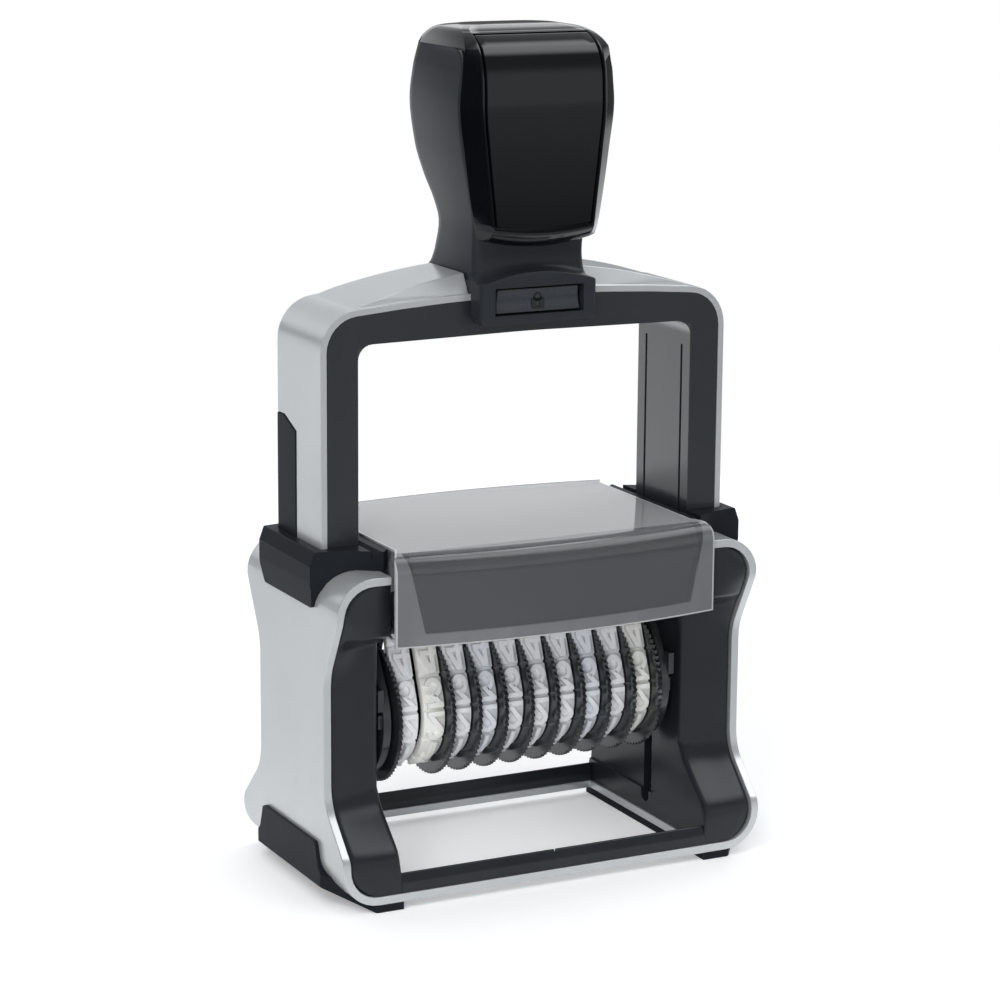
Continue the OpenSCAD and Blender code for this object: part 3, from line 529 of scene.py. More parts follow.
# Half depth of a frame at a height, s from 0 at its inner face to 1 at the sheet
def frameHalf(z, s):
    a, b = next((a, b) for a, b in zip(frameSide, frameSide[1:]) if b.y >= z)
    outer = a.x + (b.x - a.x) * (z - a.y) / max(b.y - a.y, 1e-6)
    lean = frames["lean"] * ramp(*frames["leanFrom"], z)  # flush with the rail at the foot
    column = (outer if z < frames["footTop"] else min(outer, frames["waist"])) - lean
    below = column + (outer - column) * s * s
    cheek = frames["cheekHalf"] - frames["lean"]
    above = cheek + (outer - cheek) * s + frames["swell"] * math.sin(math.pi * s)
    return below + (above - below) * ramp(*frames["cheek"], z)


def frameRing(z, sign):
    bend, (bendLow, bendHigh) = frames["bend"], frames["bendEnds"]
    past = max(0, z - (bendHigh - bend), bendLow + bend - z)
    width = frames["outer"] - bend + math.sqrt(max(0, bend * bend - past * past)) - frames["inner"]
    rIn = 0.02 + frames["innerRound"] * ramp(*frames["innerRoundFrom"], z)
    rOut = frames["outerRound"]
    angles = [math.radians(a) for a in (90, 67, 45, 22, 0)]
    front = [(rIn * (1 - math.sin(a)), rIn * (1 - math.cos(a))) for a in angles]
    front += [(width * s, 0) for s in (0.3, 0.5, 0.7)]
    front += [(width - rOut * (1 - math.sin(a)), rOut * (1 - math.cos(a))) for a in reversed(angles)]
    points = [(x, frameHalf(z, x / width) - drop) for x, drop in front]
    ring = [(x, -y) for x, y in points] + [(x, y) for x, y in reversed(points)]
    return [(sign * (frames["inner"] + x), y, z) for x, y in ring]


def makeFrame(side, sign):
    node = "side_frame_" + side
    tall = frames["high"] - frames["low"]
    heights = [frames["low"] + tall * k / frames["rows"] for k in range(frames["rows"] + 1)]
    heights += [frames["cheek"][0] + frames["cheekStep"] * k for k in range(frames["cheekRows"])]
    heights = sorted(set(round(z, 4) for z in heights + list(frames["edgeRows"])))
    piece = growRings("frame_" + side, [frameRing(z, sign) for z in heights])
    # a channel for the leg, open at the top
    x, y, z = frames["channel"]
    cutWith(piece, addBlock("channel_cutter", (sign * x, -y, z), (sign * beyond, y, beyond)))
    # a slot for the pivot pin
    half, (low, high) = frames["slotHalf"], frames["slot"]
    corners = [(half, low - half), (half, high + half), (-half, high + half), (-half, low - half)]
    slot = roundedOutline([(*corner, frames["slotRound"]) for corner in corners], frames["arcSteps"])
    cutWith(piece, prism("slot_cutter", 0, slot, 0, sign * beyond))
    # a shallow guide recess round the slot
    recess = roundedOutline(frames["recessOutline"], frames["arcSteps"])
    cutWith(piece, prism("recess_cutter", 0, recess, 0, sign * frames["recess"]))
    # a ledge for the pad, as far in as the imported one
    ledgeInner = min(abs(v.x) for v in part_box(node)) / mm
    low, high = frames["ledge"]
    ledge = addBlock("ledge", (sign * ledgeInner, -frames["ledgeHalf"], low),
                     (sign * frames["ledgeOuter"], frames["ledgeHalf"], high))
    softEdges(ledge, frames["ledgeEdge"], 2)
    joinPieces(piece, [ledge])
    smoothShade(piece, 32, weighted=False)
    dress(piece, "base", blackPlastic, "black_plastic", node)


for side, sign in sides:
    makeFrame(side, sign)
print("side frames made")


# Hood: one moulded shell with a bowed front, a rolled front edge, open ends and an open back

hood = {"half": 30.1, "topHalf": 28.0, "top": 60.3, "low": 44.9, "deep": 42.0, "bow": 2.8, "radius": 3.2,
        "wall": 1.2, "stations": 36, "arcSteps": 14, "edge": 0.3, "flare": (16.1, 20.6), "flareTip": 30.2,
        "ledge": (25.3, 12.5, 46.2), "backTop": 58.7}


def hoodRing(x, inset, low):
    y = hood["deep"] / 2 + hood["bow"] * (1 - (x / hood["half"]) ** 2) - inset
    high, radius = hood["top"] - inset, max(0.5, hood["radius"] - inset)
    corners = [(-y, low, 0), (y, low, 0), (y, high, radius), (-y, high, radius)]
    return [(x, point.x, point.y) for point in roundedOutline(corners, hood["arcSteps"])]


def hoodSolid(name, half, inset, low):
    count = hood["stations"]
    return growRings(name, [hoodRing(half * (2 * k / count - 1), inset, low) for k in range(count + 1)])


def makeHood():
    piece = hoodSolid("clear_hood", hood["half"], 0, hood["low"])
    inside = hood["topHalf"] - hood["wall"]
    cutWith(piece, hoodSolid("hood_cutter", inside, hood["wall"], hood["low"] - 1))
    near, far = hood["flare"]
    flat, tip = hood["topHalf"], hood["flareTip"]
    ends = [(flat, -near), (tip, -far), (beyond, -far), (beyond, far), (tip, far), (flat, near)]
    x, y, z = hood["ledge"]
    for side, sign in sides:
        cutWith(piece, prism("end_cutter", 2, [(sign * a, b) for a, b in ends], 0, beyond))
        cutWith(piece, addBlock("ledge_cutter", (sign * x, -y, 0), (sign * beyond, y, z)))
    cutWith(piece, addBlock("back_cutter", (-inside, 0, 0), (inside, beyond, hood["backTop"])))
    softEdges(piece, hood["edge"], 3, 50)
    smoothShade(piece, 35, weighted=False)
    dress(piece, "base", smokeClear, "smoke_clear", "hood")


makeHood()
print("hood made")


# Collars, whose wings beside the hood reach further to the front and back

collars = {"edge": 0.4, "from": 11, "root": 33.0, "run": 3.4, "reach": 1.7}
for side, sign in sides:
    collar = traceSolid("collar_" + side, "leg_collar_" + side)
    editOn(collar)
    mesh = bmesh.from_edit_mesh(collar.data)
    for v in mesh.verts:
        if abs(v.co.y) > collars["from"] * mm:
            share = max(0, min(1, (collars["root"] - abs(v.co.x) / mm) / collars["run"]))
            v.co.y += math.copysign(collars["reach"] * share * mm, v.co.y)
    bmesh.update_edit_mesh(collar.data)
    editOff()
    softEdges(collar, collars["edge"])
    smoothShade(collar)
    dress(collar, "base", deepPlastic, "black_plastic", "collar_" + side)
print("collars made")


# Bow: strap, lining and leg strips

silverStrap = {"edge": 0.35, "material": satinSilver, "slot": "silver"}
blackLining = {"edge": 0.9, "segments": 4, "material": bowPlastic, "slot": "black_plastic"}
outerStrip = {"edge": 0.25, "material": deepPlastic, "slot": "black_plastic"}

dressSolid("bow_strap", "silver_strap", "bow", silverStrap)
dressSolid("bow_lining", "black_lining", "bow", blackLining)
for side, sign in sides:
    dressSolid("leg_strip_" + side, "outer_strip_" + side, "bow", outerStrip)
print("bow made")


# Handle grip: one moulded body from the apron up to the underside of the cap

grip = {
    # height, half width, front, back, front corner radius, back corner radius
    "levels": [
        (95.6, 10.9, -12.5, 12.5, 1.0, 1.0), (96.35, 10.9, -13.1, 13.1, 1.0, 1.0),
        (102.2, 10.9, -13.1, 13.1, 1.0, 1.2), (102.6, 10.9, -13.1, 12.4, 1.0, 2.0),
        (103.3, 10.9, -13.1, 11.2, 1.0, 2.6), (103.5, 10.88, -12.95, 11.0, 1.0, 2.7),
        (103.58, 10.85, -12.6, 10.9, 1.0, 2.8), (103.64, 10.75, -11.4, 10.85, 1.1, 2.9),
        (103.9, 10.6, -10.1, 10.7, 1.2, 3.0), (104.9, 10.45, -9.4, 9.9, 1.2, 3.6),
        (107.0, 10.3, -9.25, 9.1, 1.2, 4.2), (111.5, 10.5, -9.8, 8.4, 1.2, 5.5),
        (115.0, 11.2, -10.2, 9.0, 1.0, 5.6), (119.0, 12.3, -11.0, 10.3, 1.0, 5.4),
        (124.5, 13.55, -11.6, 11.3, 1.0, 5.2), (132.0, 14.3, -11.6, 11.6, 1.0, 5.0),
        (137.4, 13.85, -11.6, 11.2, 1.0, 5.0), (139.6, 13.5, -10.9, 10.8, 1.0, 5.0),
        (140.8, 13.3, -9.7, 10.5, 1.0, 5.0), (141.4, 13.2, -7.8, 10.4, 1.0, 5.0)],
    "perLevel": 4, "cornerSteps": 6, "archRise": 1.9, "archAt": 103.5, "archReach": 4, "archStep": 0.16,
    "bowDepth": 18.3, "bowTop": 101.06, "pocket": (8.3, 97.4, 102.0), "pocketBack": -9.1, "cornerRadius": 2.0}


def gripRing(z):
    halfWidth, front, back, frontRadius, backRadius = readLevels(grip["levels"], z)
    outline = roundedOutline([
        (halfWidth, front, frontRadius), (halfWidth, back, backRadius),
        (-halfWidth, back, backRadius), (-halfWidth, front, frontRadius)], grip["cornerSteps"])
    # points along the front, because the top edge of the apron is arched
    outline += [Vector((halfWidth * grip["archStep"] * k, front)) for k in range(-5, 6)]
    lift = grip["archRise"] * max(0, 1 - abs(z - grip["archAt"]) / grip["archReach"])
    return [(p.x, p.y, z + lift * (0.5 - (p.x / halfWidth) ** 2)) for p in outline]


# What is cut away below a rounded lower corner of the apron
def apronCorner():
    foot, edge = grip["levels"][0][:2]
    r = grip["cornerRadius"]
    arc = [math.radians(a) for a in range(0, -91, -15)]
    return [(edge - r, 0), (beyond, 0), (beyond, foot + r)] + [
        (edge - r + r * math.cos(a), foot + r + r * math.sin(a)) for a in arc]


def makeGrip():
    heights = heightsOf(grip["levels"], grip["perLevel"])
    piece = growRings("handle_grip", [gripRing(z) for z in heights])
    depth = grip["bowDepth"] / 2
    cutWith(piece, addBlock("bow_cutter", (-beyond, -depth, 0), (beyond, depth, grip["bowTop"])))
    half, low, high = grip["pocket"]
    cutWith(piece, addBlock("pocket_cutter", (-half, -beyond, low), (half, grip["pocketBack"], high)))
    for side, sign in sides:
        corner = [(sign * x, z) for x, z in apronCorner()]
        cutWith(piece, prism("corner_cutter", 1, corner, -beyond, beyond))
    smoothShade(piece, 32, weighted=False)
    dress(piece, "bow", gripPlastic, "black_plastic", "handle_body")
    print("handle grip made:", len(piece.data.polygons), "faces")


makeGrip()


# Glossy cap: a bezel down the front with a recess for the plate, rolled over the top of the head

cap = {
    # height, half width at the back edge, half width at the face, front, back edge
    "levels": [
        (110.1, 10.85, 9.6, -12.2, -11.62), (110.35, 11.0, 9.5, -12.7, -11.62),
        (111.7, 11.45, 9.35, -14.1, -11.62), (112.0, 11.5, 9.35, -14.3, -11.62),
        (113.1, 11.75, 9.45, -14.4, -11.62), (124.5, 13.45, 10.75, -14.4, -11.62),
        (132.0, 14.3, 11.4, -14.4, -11.62), (136.0, 14.0, 11.4, -14.25, -11.62),
        (137.4, 13.87, 11.4, -14.05, -11.62), (139.6, 13.55, 11.35, -13.35, -10.92),
        (140.8, 13.35, 11.3, -12.7, -9.72), (141.4, 13.22, 11.25, -12.25, -7.82)],
    # the same above the grip, where the cap reaches the back of the head
    "topLevels": [
        (141.4, 13.22, 11.25, -12.25, 10.42), (142.2, 12.9, 11.2, -11.35, 10.0),
        (143.0, 12.45, 11.15, -10.0, 9.3), (143.6, 11.95, 11.0, -8.55, 8.6),
        (144.2, 11.1, 10.4, -6.3, 7.3), (144.6, 9.0, 8.5, -3.2, 5.0)],
    "perLevel": 5, "cornerSteps": 5, "sag": 1.5, "sagTop": 124.5, "faceY": -11.6, "backRadius": 5.0,
    "lowBackRadius": 0.04, "chamferDeep": 0.7, "sideGap": 0.1, "soft": 0.6, "softShare": 0.4, "sideSoft": 1.5}
plate = {"inset": 0.65, "gap": 0.22, "rim": 0.22, "deep": 0.8, "under": 0.1, "low": 112.9, "high": 143.4,
         "across": 12, "rows": 48, "edge": 0.14}


# The lower edges of bezel and plate hang down in the middle
def sagAt(z, share):
    fade = max(0, min(1, (cap["sagTop"] - z) / (cap["sagTop"] - cap["levels"][0][0])))
    return -cap["sag"] * fade ** 1.5 * (1 - min(1, abs(share)) ** 2)


def capRing(rows, z, backRadius, deep):
    halfBack, halfFace, front, back = readLevels(rows, z)
    sideY = min(max(cap["faceY"], front + cap["chamferDeep"]), back - cap["sideGap"])
    soft = min(cap["soft"], cap["softShare"] * math.hypot(halfBack - halfFace, sideY - front))
    sideSoft = min(soft, cap["sideSoft"] * (back - sideY))
    outline = roundedOutline([
        (halfBack, back, backRadius), (-halfBack, back, backRadius), (-halfBack, sideY, sideSoft),
        (-halfFace, front, soft), (halfFace, front, soft), (halfBack, sideY, sideSoft)], cap["cornerSteps"])
    half = halfFace - plate["inset"] + plate["gap"]
    count, rim = plate["across"], plate["rim"]
    recess = [Vector((-half - rim, front)), Vector((-half, front + min(deep, rim)))]
    recess += [Vector((half * (2 * k / count - 1), front + deep)) for k in range(count + 1)]
    recess += [Vector((half, front + min(deep, rim))), Vector((half + rim, front))]
    frontLeft = 4 * (cap["cornerSteps"] + 1)  # the recess comes after the fourth corner
    outline = outline[:frontLeft] + recess + outline[frontLeft:]
    return [(p.x, p.y, z + sagAt(z, p.x / halfBack)) for p in outline]


def capRings():
    low, high = plate["low"] - plate["gap"], plate["high"] + plate["gap"]
    rings = []
    for rows, radius in ((cap["levels"], cap["lowBackRadius"]), (cap["topLevels"], cap["backRadius"])):
        heights = heightsOf(rows, cap["perLevel"])
        for end, inward in ((low, 1), (high, -1)):  # close rows give the recess a crisp end
            if rows[0][0] < end < rows[-1][0]:
                heights += [end - inward * plate["rim"], end, end + inward * 0.01]
        for z in sorted(heights):
            deep = plate["deep"] if low < z < high else plate["rim"] if z in (low, high) else 0
            rings.append(capRing(rows, z, radius, deep))
    return rings


glossCap = growRings("gloss_cap", capRings())
smoothShade(glossCap, 30, weighted=False)
dress(glossCap, "bow", glossBlack, "gloss_black", "handle_cap")


# Front plate, bent like the bezel, with its edges broken
def plateRing(z, trim):
    halfBack, halfFace, front = readLevels(cap["levels"] + cap["topLevels"][1:], z)[:3]
    half, edge = halfFace - plate["inset"] - trim, plate["edge"]
    xs = [(half - edge) * (2 * k / plate["across"] - 1) for k in range(plate["across"] + 1)]
    ring = [(-half, front + edge)] + [(x, front + trim) for x in xs] + [(half, front + edge)]
    ring += [(x, front + plate["deep"] - plate["under"]) for x in reversed(xs)]
    return [(x, y, z + sagAt(z, x / halfBack)) for x, y in ring]


def plateRings():
    low, high, edge, count = plate["low"], plate["high"], plate["edge"], plate["rows"]
    between = [low + (high - low) * k / count for k in range(1, count)]
    rings = [plateRing(z, 0) for z in [low + edge] + between + [high - edge]]
    return [plateRing(low, edge)] + rings + [plateRing(high, edge)]


barePlate = growRings("bare_plate", plateRings())
smoothShade(barePlate, 30, weighted=False)
dress(barePlate, "bow", glossBlack, "gloss_black", "front_plate")
print("cap and plate made")


# Lock button with a hollowed face

button = {"half": 7.95, "low": 97.7, "high": 101.7, "front": -12.6, "back": -10.9, "scoop": 0.45, "steps": 8,
          "taper": 0.05, "edge": 0.25, "stemHalf": 3.7, "stemLow": 98.4, "stemHigh": 99.5, "stemBack": -9.7,
          "stemRoot": 0.2, "stemEdge": 0.1}


def buttonFront(z):
    share = (z - button["low"]) / (button["high"] - button["low"])
    return button["front"] + button["scoop"] * 4 * share * (1 - share)


def buttonRing(x):
    tall, count = button["high"] - button["low"], button["steps"]
    ring = []
    for k in range(count + 1):
        z = button["low"] + tall * k / count
        ring.append((x * (1 - button["taper"] * k / count), buttonFront(z), z))
    ring.append((x * (1 - button["taper"]), button["back"], button["high"]))
    ring.append((x, button["back"], button["low"]))
    return ring


lockKey = growRings("lock_key", [buttonRing(x) for x in (-button["half"], 0, button["half"])])
softEdges(lockKey, button["edge"], 3, 50)
keyStem = addBlock("key_stem", (-button["stemHalf"], button["back"] - button["stemRoot"], button["stemLow"]),
                   (button["stemHalf"], button["stemBack"], button["stemHigh"]))
softEdges(keyStem, button["stemEdge"], 2)
joinPieces(lockKey, [keyStem])
smoothShade(lockKey, 40)
dress(lockKey, "lock", keyPlastic, "black_plastic", "lock_button")


# Padlock sign: a body with a keyhole and a bent shackle, a little proud of the hollow face

padlock = {"low": 98.25, "half": 1.15, "tall": 1.65, "holeHalf": 0.28, "hole": (0.45, 1.15), "shackle": 0.62,
           "bar": 0.34, "legLow": -0.05, "legHigh": 0.25, "proud": 0.12, "bury": -0.1}


def onFace(x, z, proud):
    return x, buttonFront(z) - proud, z


def rectangle(half, low, high):
    return [(-half, low), (half, low), (half, high), (-half, high)]


def padlockBody():
    body = rectangle(padlock["half"], padlock["low"], padlock["low"] + padlock["tall"])
    hole = rectangle(padlock["holeHalf"], *(padlock["low"] + v for v in padlock["hole"]))
    parts = []
    for i in range(4):
        j = (i + 1) % 4
        bar = [body[i], body[j], hole[j], hole[i]]
        depths = (padlock["bury"], padlock["proud"])
        parts.append(growRings("padlock_bar", [[onFace(x, z, d) for x, z in bar] for d in depths]))
    return parts


def padlockShackle():
    r, top = padlock["shackle"], padlock["low"] + padlock["tall"]
    legLow, legHigh = top + padlock["legLow"], top + padlock["legHigh"]
    bow = [math.radians(a) for a in range(20, 180, 20)]
    path = [(-r, legLow), (-r, legHigh)] + [(-r * math.cos(a), legHigh + r * math.sin(a)) for a in bow]
    path = [Vector(p) for p in path + [(r, legHigh), (r, legLow)]]
    rings = []
    for i, point in enumerate(path):
        along = (path[min(len(path) - 1, i + 1)] - path[max(0, i - 1)]).normalized()
        out = Vector((-along.y, along.x)) * padlock["bar"] / 2
        inner, outer = point - out, point + out
        corners = [(inner, padlock["bury"]), (inner, padlock["proud"]),
                   (outer, padlock["proud"]), (outer, padlock["bury"])]
        rings.append([onFace(q.x, q.y, d) for q, d in corners])
    return growRings("padlock_shackle", rings)


padlockParts = padlockBody() + [padlockShackle()]
padlockSign = padlockParts[0]
joinPieces(padlockSign, padlockParts[1:])
padlockSign.name = "padlock_sign"
smoothShade(padlockSign, 30, weighted=False)
dress(padlockSign, "lock", glossBlack, "gloss_black", "lock_button")
print("lock button made")


# Ink pad: a felt block with a crowned face, pressed into the tray

pad = {"half": 24.3, "depth": 15.3, "low": 46.3, "high": 50.4, "radius": 0.9, "crown": 0.25, "crownTop": 47.5,
       "cuts": 6}
inkPad = addBlock("felt_pad", (-pad["half"], -pad["depth"], pad["low"] + pad["crown"]),
                  (pad["half"], pad["depth"], pad["high"]))
softEdges(inkPad, pad["radius"], 4)
editOn(inkPad)
bpy.ops.mesh.subdivide(number_cuts=pad["cuts"])
mesh = bmesh.from_edit_mesh(inkPad.data)
for v in mesh.verts:
    u, w = v.co.x / (pad["half"] * mm), v.co.y / (pad["depth"] * mm)
    if v.co.z < pad["crownTop"] * mm:
        v.co.z -= pad["crown"] * mm * max(0, 1 - u ** 4) * max(0, 1 - w ** 4)
bmesh.update_edit_mesh(inkPad.data)
editOff()
smoothShade(inkPad)
dress(inkPad, "pad", inkFelt, "ink_felt", "ink_pad")

padTray = {"edge": 0.2, "segments": 2, "material": trayPlastic, "slot": "dark_plastic"}
dressSolid("pad_cassette", "pad_tray", "pad", padTray)
print("ink pad and tray made")


# Carrier: side plates, axle and printing bar, and the pins that it turns on

flipPlate = {"edge": 0.18, "segments": 2, "material": wheelPlastic, "slot": "wheel_plastic"}
barGuide = {"edge": 0.1, "segments": 2, "material": wheelPlastic, "slot": "wheel_plastic"}
steelRod = {"edge": 0.1, "segments": 2, "material": brightSteel, "slot": "steel"}
for side, sign in sides:
    dressSolid("carrier_plate_" + side, "flip_plate_" + side, "carrier", flipPlate)
    dressSolid("pivot_pin_" + side, "pivot_stud_" + side, "bow", steelRod)
dressSolid("wheel_axle", "steel_axle", "carrier", steelRod)
dressSolid("print_bar", "bar_guide", "carrier", barGuide)
print("carrier made")


# Return springs inside the legs: a wire section screwed up round the coil's axis

spring = {"x": 34.2, "y": 5.15, "low": 3.85, "high": 69.85, "coil": 1.7, "wire": 0.35, "turns": 18,
          "steps": 24, "sides": 10, "stroke": 33}


def makeCoil():
    deselectAll()
    bpy.ops.mesh.primitive_circle_add(vertices=spring["sides"], radius=spring["wire"] * mm,
                                      rotation=(math.pi / 2, 0, 0))
    piece = bpy.context.object
    bpy.ops.object.transform_apply(location=True, rotation=True, scale=True)
    editOn(piece)
    bpy.ops.transform.translate(value=(spring["coil"] * mm, 0, spring["low"] * mm))
    editOff()
    wind = piece.modifiers.new("wind", "SCREW")
    wind.axis = "Z"
    wind.iterations = spring["turns"]
    wind.steps = wind.render_steps = spring["steps"]
    wind.screw_offset = (spring["high"] - spring["low"]) / spring["turns"] * mm
    wind.use_merge_vertices = False
    applyModifiers(piece)
    editOn(piece)
    bpy.ops.mesh.fill_holes(sides=0)
    closeShell()
    smoothShade(piece, 50, weighted=False)
    return piece


coil = makeCoil()
for side, sign in sides:
    x, y = sign * spring["x"] * mm, spring["y"] * mm
    piece = copyAt(coil, "coil_" + side, (x, y, 0))
    dress(piece, "base", brightSteel, "steel", "spring_" + side)
    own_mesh(piece)
bpy.data.objects.remove(coil)
print("return springs made")


# Number bands: a rubber loop of cells, with mirrored numerals raised to the printing face

band = {"count": 10, "pitch": 5.0, "width": 3.9, "thick": 2.2, "relief": 0.8, "cells": 13, "grooveDeep": 0.45,
        "grooveTop": 0.352, "grooveFloor": 0.132, "cellShares": (0.2, 0.35, 0.5, 0.65, 0.8), "edge": 0.1,
        "loopRadius": 10.3, "axleZ": 28.5, "faceZ": 46.0, "noseRadius": 2.4, "noseY": 2.6,
        "tints": [0, 1, 0, 2, 0, 0, 0, 2, 0, 1]}
# Strokes about the middle of a cell. An arc is its centre, its two radii and two angles.
numeral = {
    "stroke": 0.9, "edge": 0.08, "bury": 0.15, "step": 0.45, "sink": 0.03, "arcAngle": 15,
    "order": "6543210-./987",
    "1": [[(0.25, 2.5), (0.25, -2.6)], [(0.1, 2.15), (-0.95, 1.2)]],
    "2": [[("arc", 0, 1.1, 1.1, 1.1, 175, -40), (-1.0, -1.9)], [(-1.5, -2.2), (1.5, -2.2)]],
    "3": [[(-1.45, 2.2), (1.5, 2.2)], [(1.0, 2.0), (-0.25, 0.45), ("arc", 0, -0.9, 1.12, 1.3, 88, -165)]],
    "4": [[(0.62, 2.6), (0.62, -2.6)], [(0.3, 2.4), (-1.15, -0.75)], [(-1.5, -0.95), (1.5, -0.95)]],
    "5": [[(-0.95, 2.2), (1.4, 2.2)], [(-0.85, 2.1), (-1.0, 0.1)],
          [("arc", -0.05, -0.8, 1.15, 1.4, 140, -155)]],
    "6": [[("arc", 0, -0.95, 1.1, 1.25, 180, -180)], [("arc", 1.1, -0.9, 2.2, 3.1, 178, 105)]],
    "7": [[(-1.45, 2.2), (1.5, 2.2)], [(1.05, 2.05), (-0.35, -2.6)]],
    "8": [[("arc", 0, 1.15, 0.95, 1.05, 90, -270)], [("arc", 0, -1.1, 1.1, 1.1, 90, -270)]],
    "9": [[("arc", 0, 0.95, 1.1, 1.25, 0, -360)], [("arc", -1.1, 0.9, 2.2, 3.1, -2, -75)]],
    "0": [[("arc", 0, 0, 1.1, 2.2, 90, -270)]],
    "-": [[(-1.2, 0), (1.2, 0)]],
    ".": [[(-0.4, -2.1), (0.4, -2.1)]],
    "/": [[(-1.1, -2.3), (1.1, 2.3)]]}

# The loop: a flat printing face, an arc at each end of it, two straight flanks and an arc round the axle
noseZ = band["faceZ"] - band["noseRadius"]
noseRise = noseZ - band["axleZ"]
noseSpan = math.hypot(band["noseY"], noseRise)
radiusStep = band["loopRadius"] - band["noseRadius"]
flankTilt = math.atan2(noseRise, band["noseY"]) - math.acos(radiusStep / noseSpan)
noseEnd = band["noseY"] + (math.pi / 2 - flankTilt) * band["noseRadius"]
flankEnd = noseEnd + math.sqrt(noseSpan ** 2 - radiusStep ** 2)
loopLength = 2 * flankEnd + (math.pi + 2 * flankTilt) * band["loopRadius"]
cellLength = loopLength / band["cells"]


# Place on the loop at a length s from the middle of the printing face, towards the front, and inset from it
def loopPoint(s, inset):
    r, q, faceEnd = band["loopRadius"], band["noseRadius"], band["noseY"]
    s = s % loopLength
    mirror = 1
    if s > loopLength / 2:
        s, mirror = loopLength - s, -1
    if s <= faceEnd:
        y, z, a = -s, band["faceZ"], math.pi / 2
    elif s <= noseEnd:
        a = math.pi / 2 + (s - faceEnd) / q
        y, z = -faceEnd + q * math.cos(a), noseZ + q * math.sin(a)
    elif s <= flankEnd:
        a = math.pi - flankTilt
        run = s - noseEnd
        y = -faceEnd + q * math.cos(a) - run * math.sin(a)
        z = noseZ + q * math.sin(a) + run * math.cos(a)
    else:
        a = math.pi - flankTilt + (s - flankEnd) / r
        y, z = r * math.cos(a), band["axleZ"] + r * math.sin(a)
    return mirror * (y - inset * math.cos(a)), z - inset * math.sin(a)


# Outer and inner edge of the loop, with a groove between two cells
def bandEdges(x):
    relief, sunk = band["relief"], band["relief"] + band["grooveDeep"]
    top, bottom = band["grooveTop"], band["grooveFloor"]
    steps = [(-top, relief), (-bottom, sunk), (bottom, sunk), (top, relief)]
    steps += [(cellLength * share, relief) for share in band["cellShares"]]
    outer, inner = [], []
    for cell in range(band["cells"]):
        for step, inset in steps:
            s = (cell + 0.5) * cellLength + step
            outer.append((x, *loopPoint(s, inset)))
            inner.append((x, *loopPoint(s, band["thick"])))
    return outer, inner


def makeLoop():
    outer, inner = bandEdges(-band["width"] / 2)
    piece = startRing("number_band", len(outer), "NOTHING")
    placeRing(piece, outer)
    bpy.ops.mesh.extrude_edges_move()
    placeRing(piece, inner)
    bpy.ops.mesh.select_all(action="SELECT")
    bpy.ops.mesh.extrude_region_move(TRANSFORM_OT_translate={"value": (band["width"] * mm, 0, 0)})
    closeShell()
    softEdges(piece, band["edge"], 2, 60)
    return piece


def strokePoints(plan):
    points = []
    for item in plan:
        if item[0] == "arc":
            x, y, rx, ry, first, last = item[1:]
            count = max(4, round(abs(last - first) / numeral["arcAngle"]))
            angles = [math.radians(first + (last - first) * k / count) for k in range(count + 1)]
            points += [Vector((x + rx * math.cos(a), y + ry * math.sin(a))) for a in angles]
        else:
            points.append(Vector(item))
    fine = [points[0]]
    for a, b in zip(points, points[1:]):  # short steps, so that it can follow the curve of the band
        count = max(1, math.ceil((b - a).length / numeral["step"]))
        fine += [a.lerp(b, k / count) for k in range(1, count + 1)]
    return fine


def addStroke(plan, cell, sink):
    points = strokePoints(plan)
    half, edge, root = numeral["stroke"] / 2, numeral["edge"], band["relief"] + numeral["bury"]
    section = [(-half, root), (-half, sink + edge), (edge - half, sink),
               (half - edge, sink), (half, sink + edge), (half, root)]
    rings = []
    for i, p in enumerate(points):
        before = (p - points[i - 1]).normalized() if i else (points[1] - p).normalized()
        after = (points[i + 1] - p).normalized() if i + 1 < len(points) else before
        along = (before + after).normalized()
        out = Vector((-along.y, along.x)) / max(0.5, along.dot(before))
        spots = [(p + out * offset, inset) for offset, inset in section]
        rings.append([(q.x, *loopPoint(cell * cellLength + q.y, inset)) for q, inset in spots])
    return growRings("stroke", rings)


bandMaster = makeLoop()
strokes = []
for cell, character in enumerate(numeral["order"]):
    # strokes that cross end at slightly different heights
    strokes += [addStroke(plan, cell, numeral["sink"] * k) for k, plan in enumerate(numeral[character])]
joinPieces(bandMaster, strokes)
smoothShade(bandMaster, 28, weighted=False)
for k in range(band["count"]):
    node = "band_%02d" % (k + 1)
    x = (k - (band["count"] - 1) / 2) * band["pitch"] * mm
    piece = copyAt(bandMaster, "number_" + node, (x, 0, 0))
    dress(piece, "carrier", rubberTints[band["tints"][k]], "white_rubber", node)
bpy.data.objects.remove(bandMaster)
print("number bands made:", band["count"])


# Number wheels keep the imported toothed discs

for k in range(band["count"]):
    node = "wheel_%02d" % (k + 1)
    piece = traceSolid(node, "toothed_" + node)
    smoothShade(piece, 30)
    dress(piece, node, wheelPlastic, "wheel_plastic", node)
print("number wheels made:", band["count"])


# Floor, in metres: white to the camera, and darker in front and to the left for mirror-like surfaces

ground = {"radius": 0.32, "corners": 96, "rough": 0.9, "lift": 0.25, "pale": (0.90, 0.90, 0.905, 1),
          "dark": (0.38, 0.39, 0.405, 1), "front": (-0.025, -0.07), "left": (-0.04, -0.075), "leftShare": 0.5}


# 1 where the camera sees a surface, straight or through the hood
def seenByCamera(tree, path):
    return mathNode(tree, "MAXIMUM", path.outputs["Is Camera Ray"], path.outputs["Is Transmission Ray"])


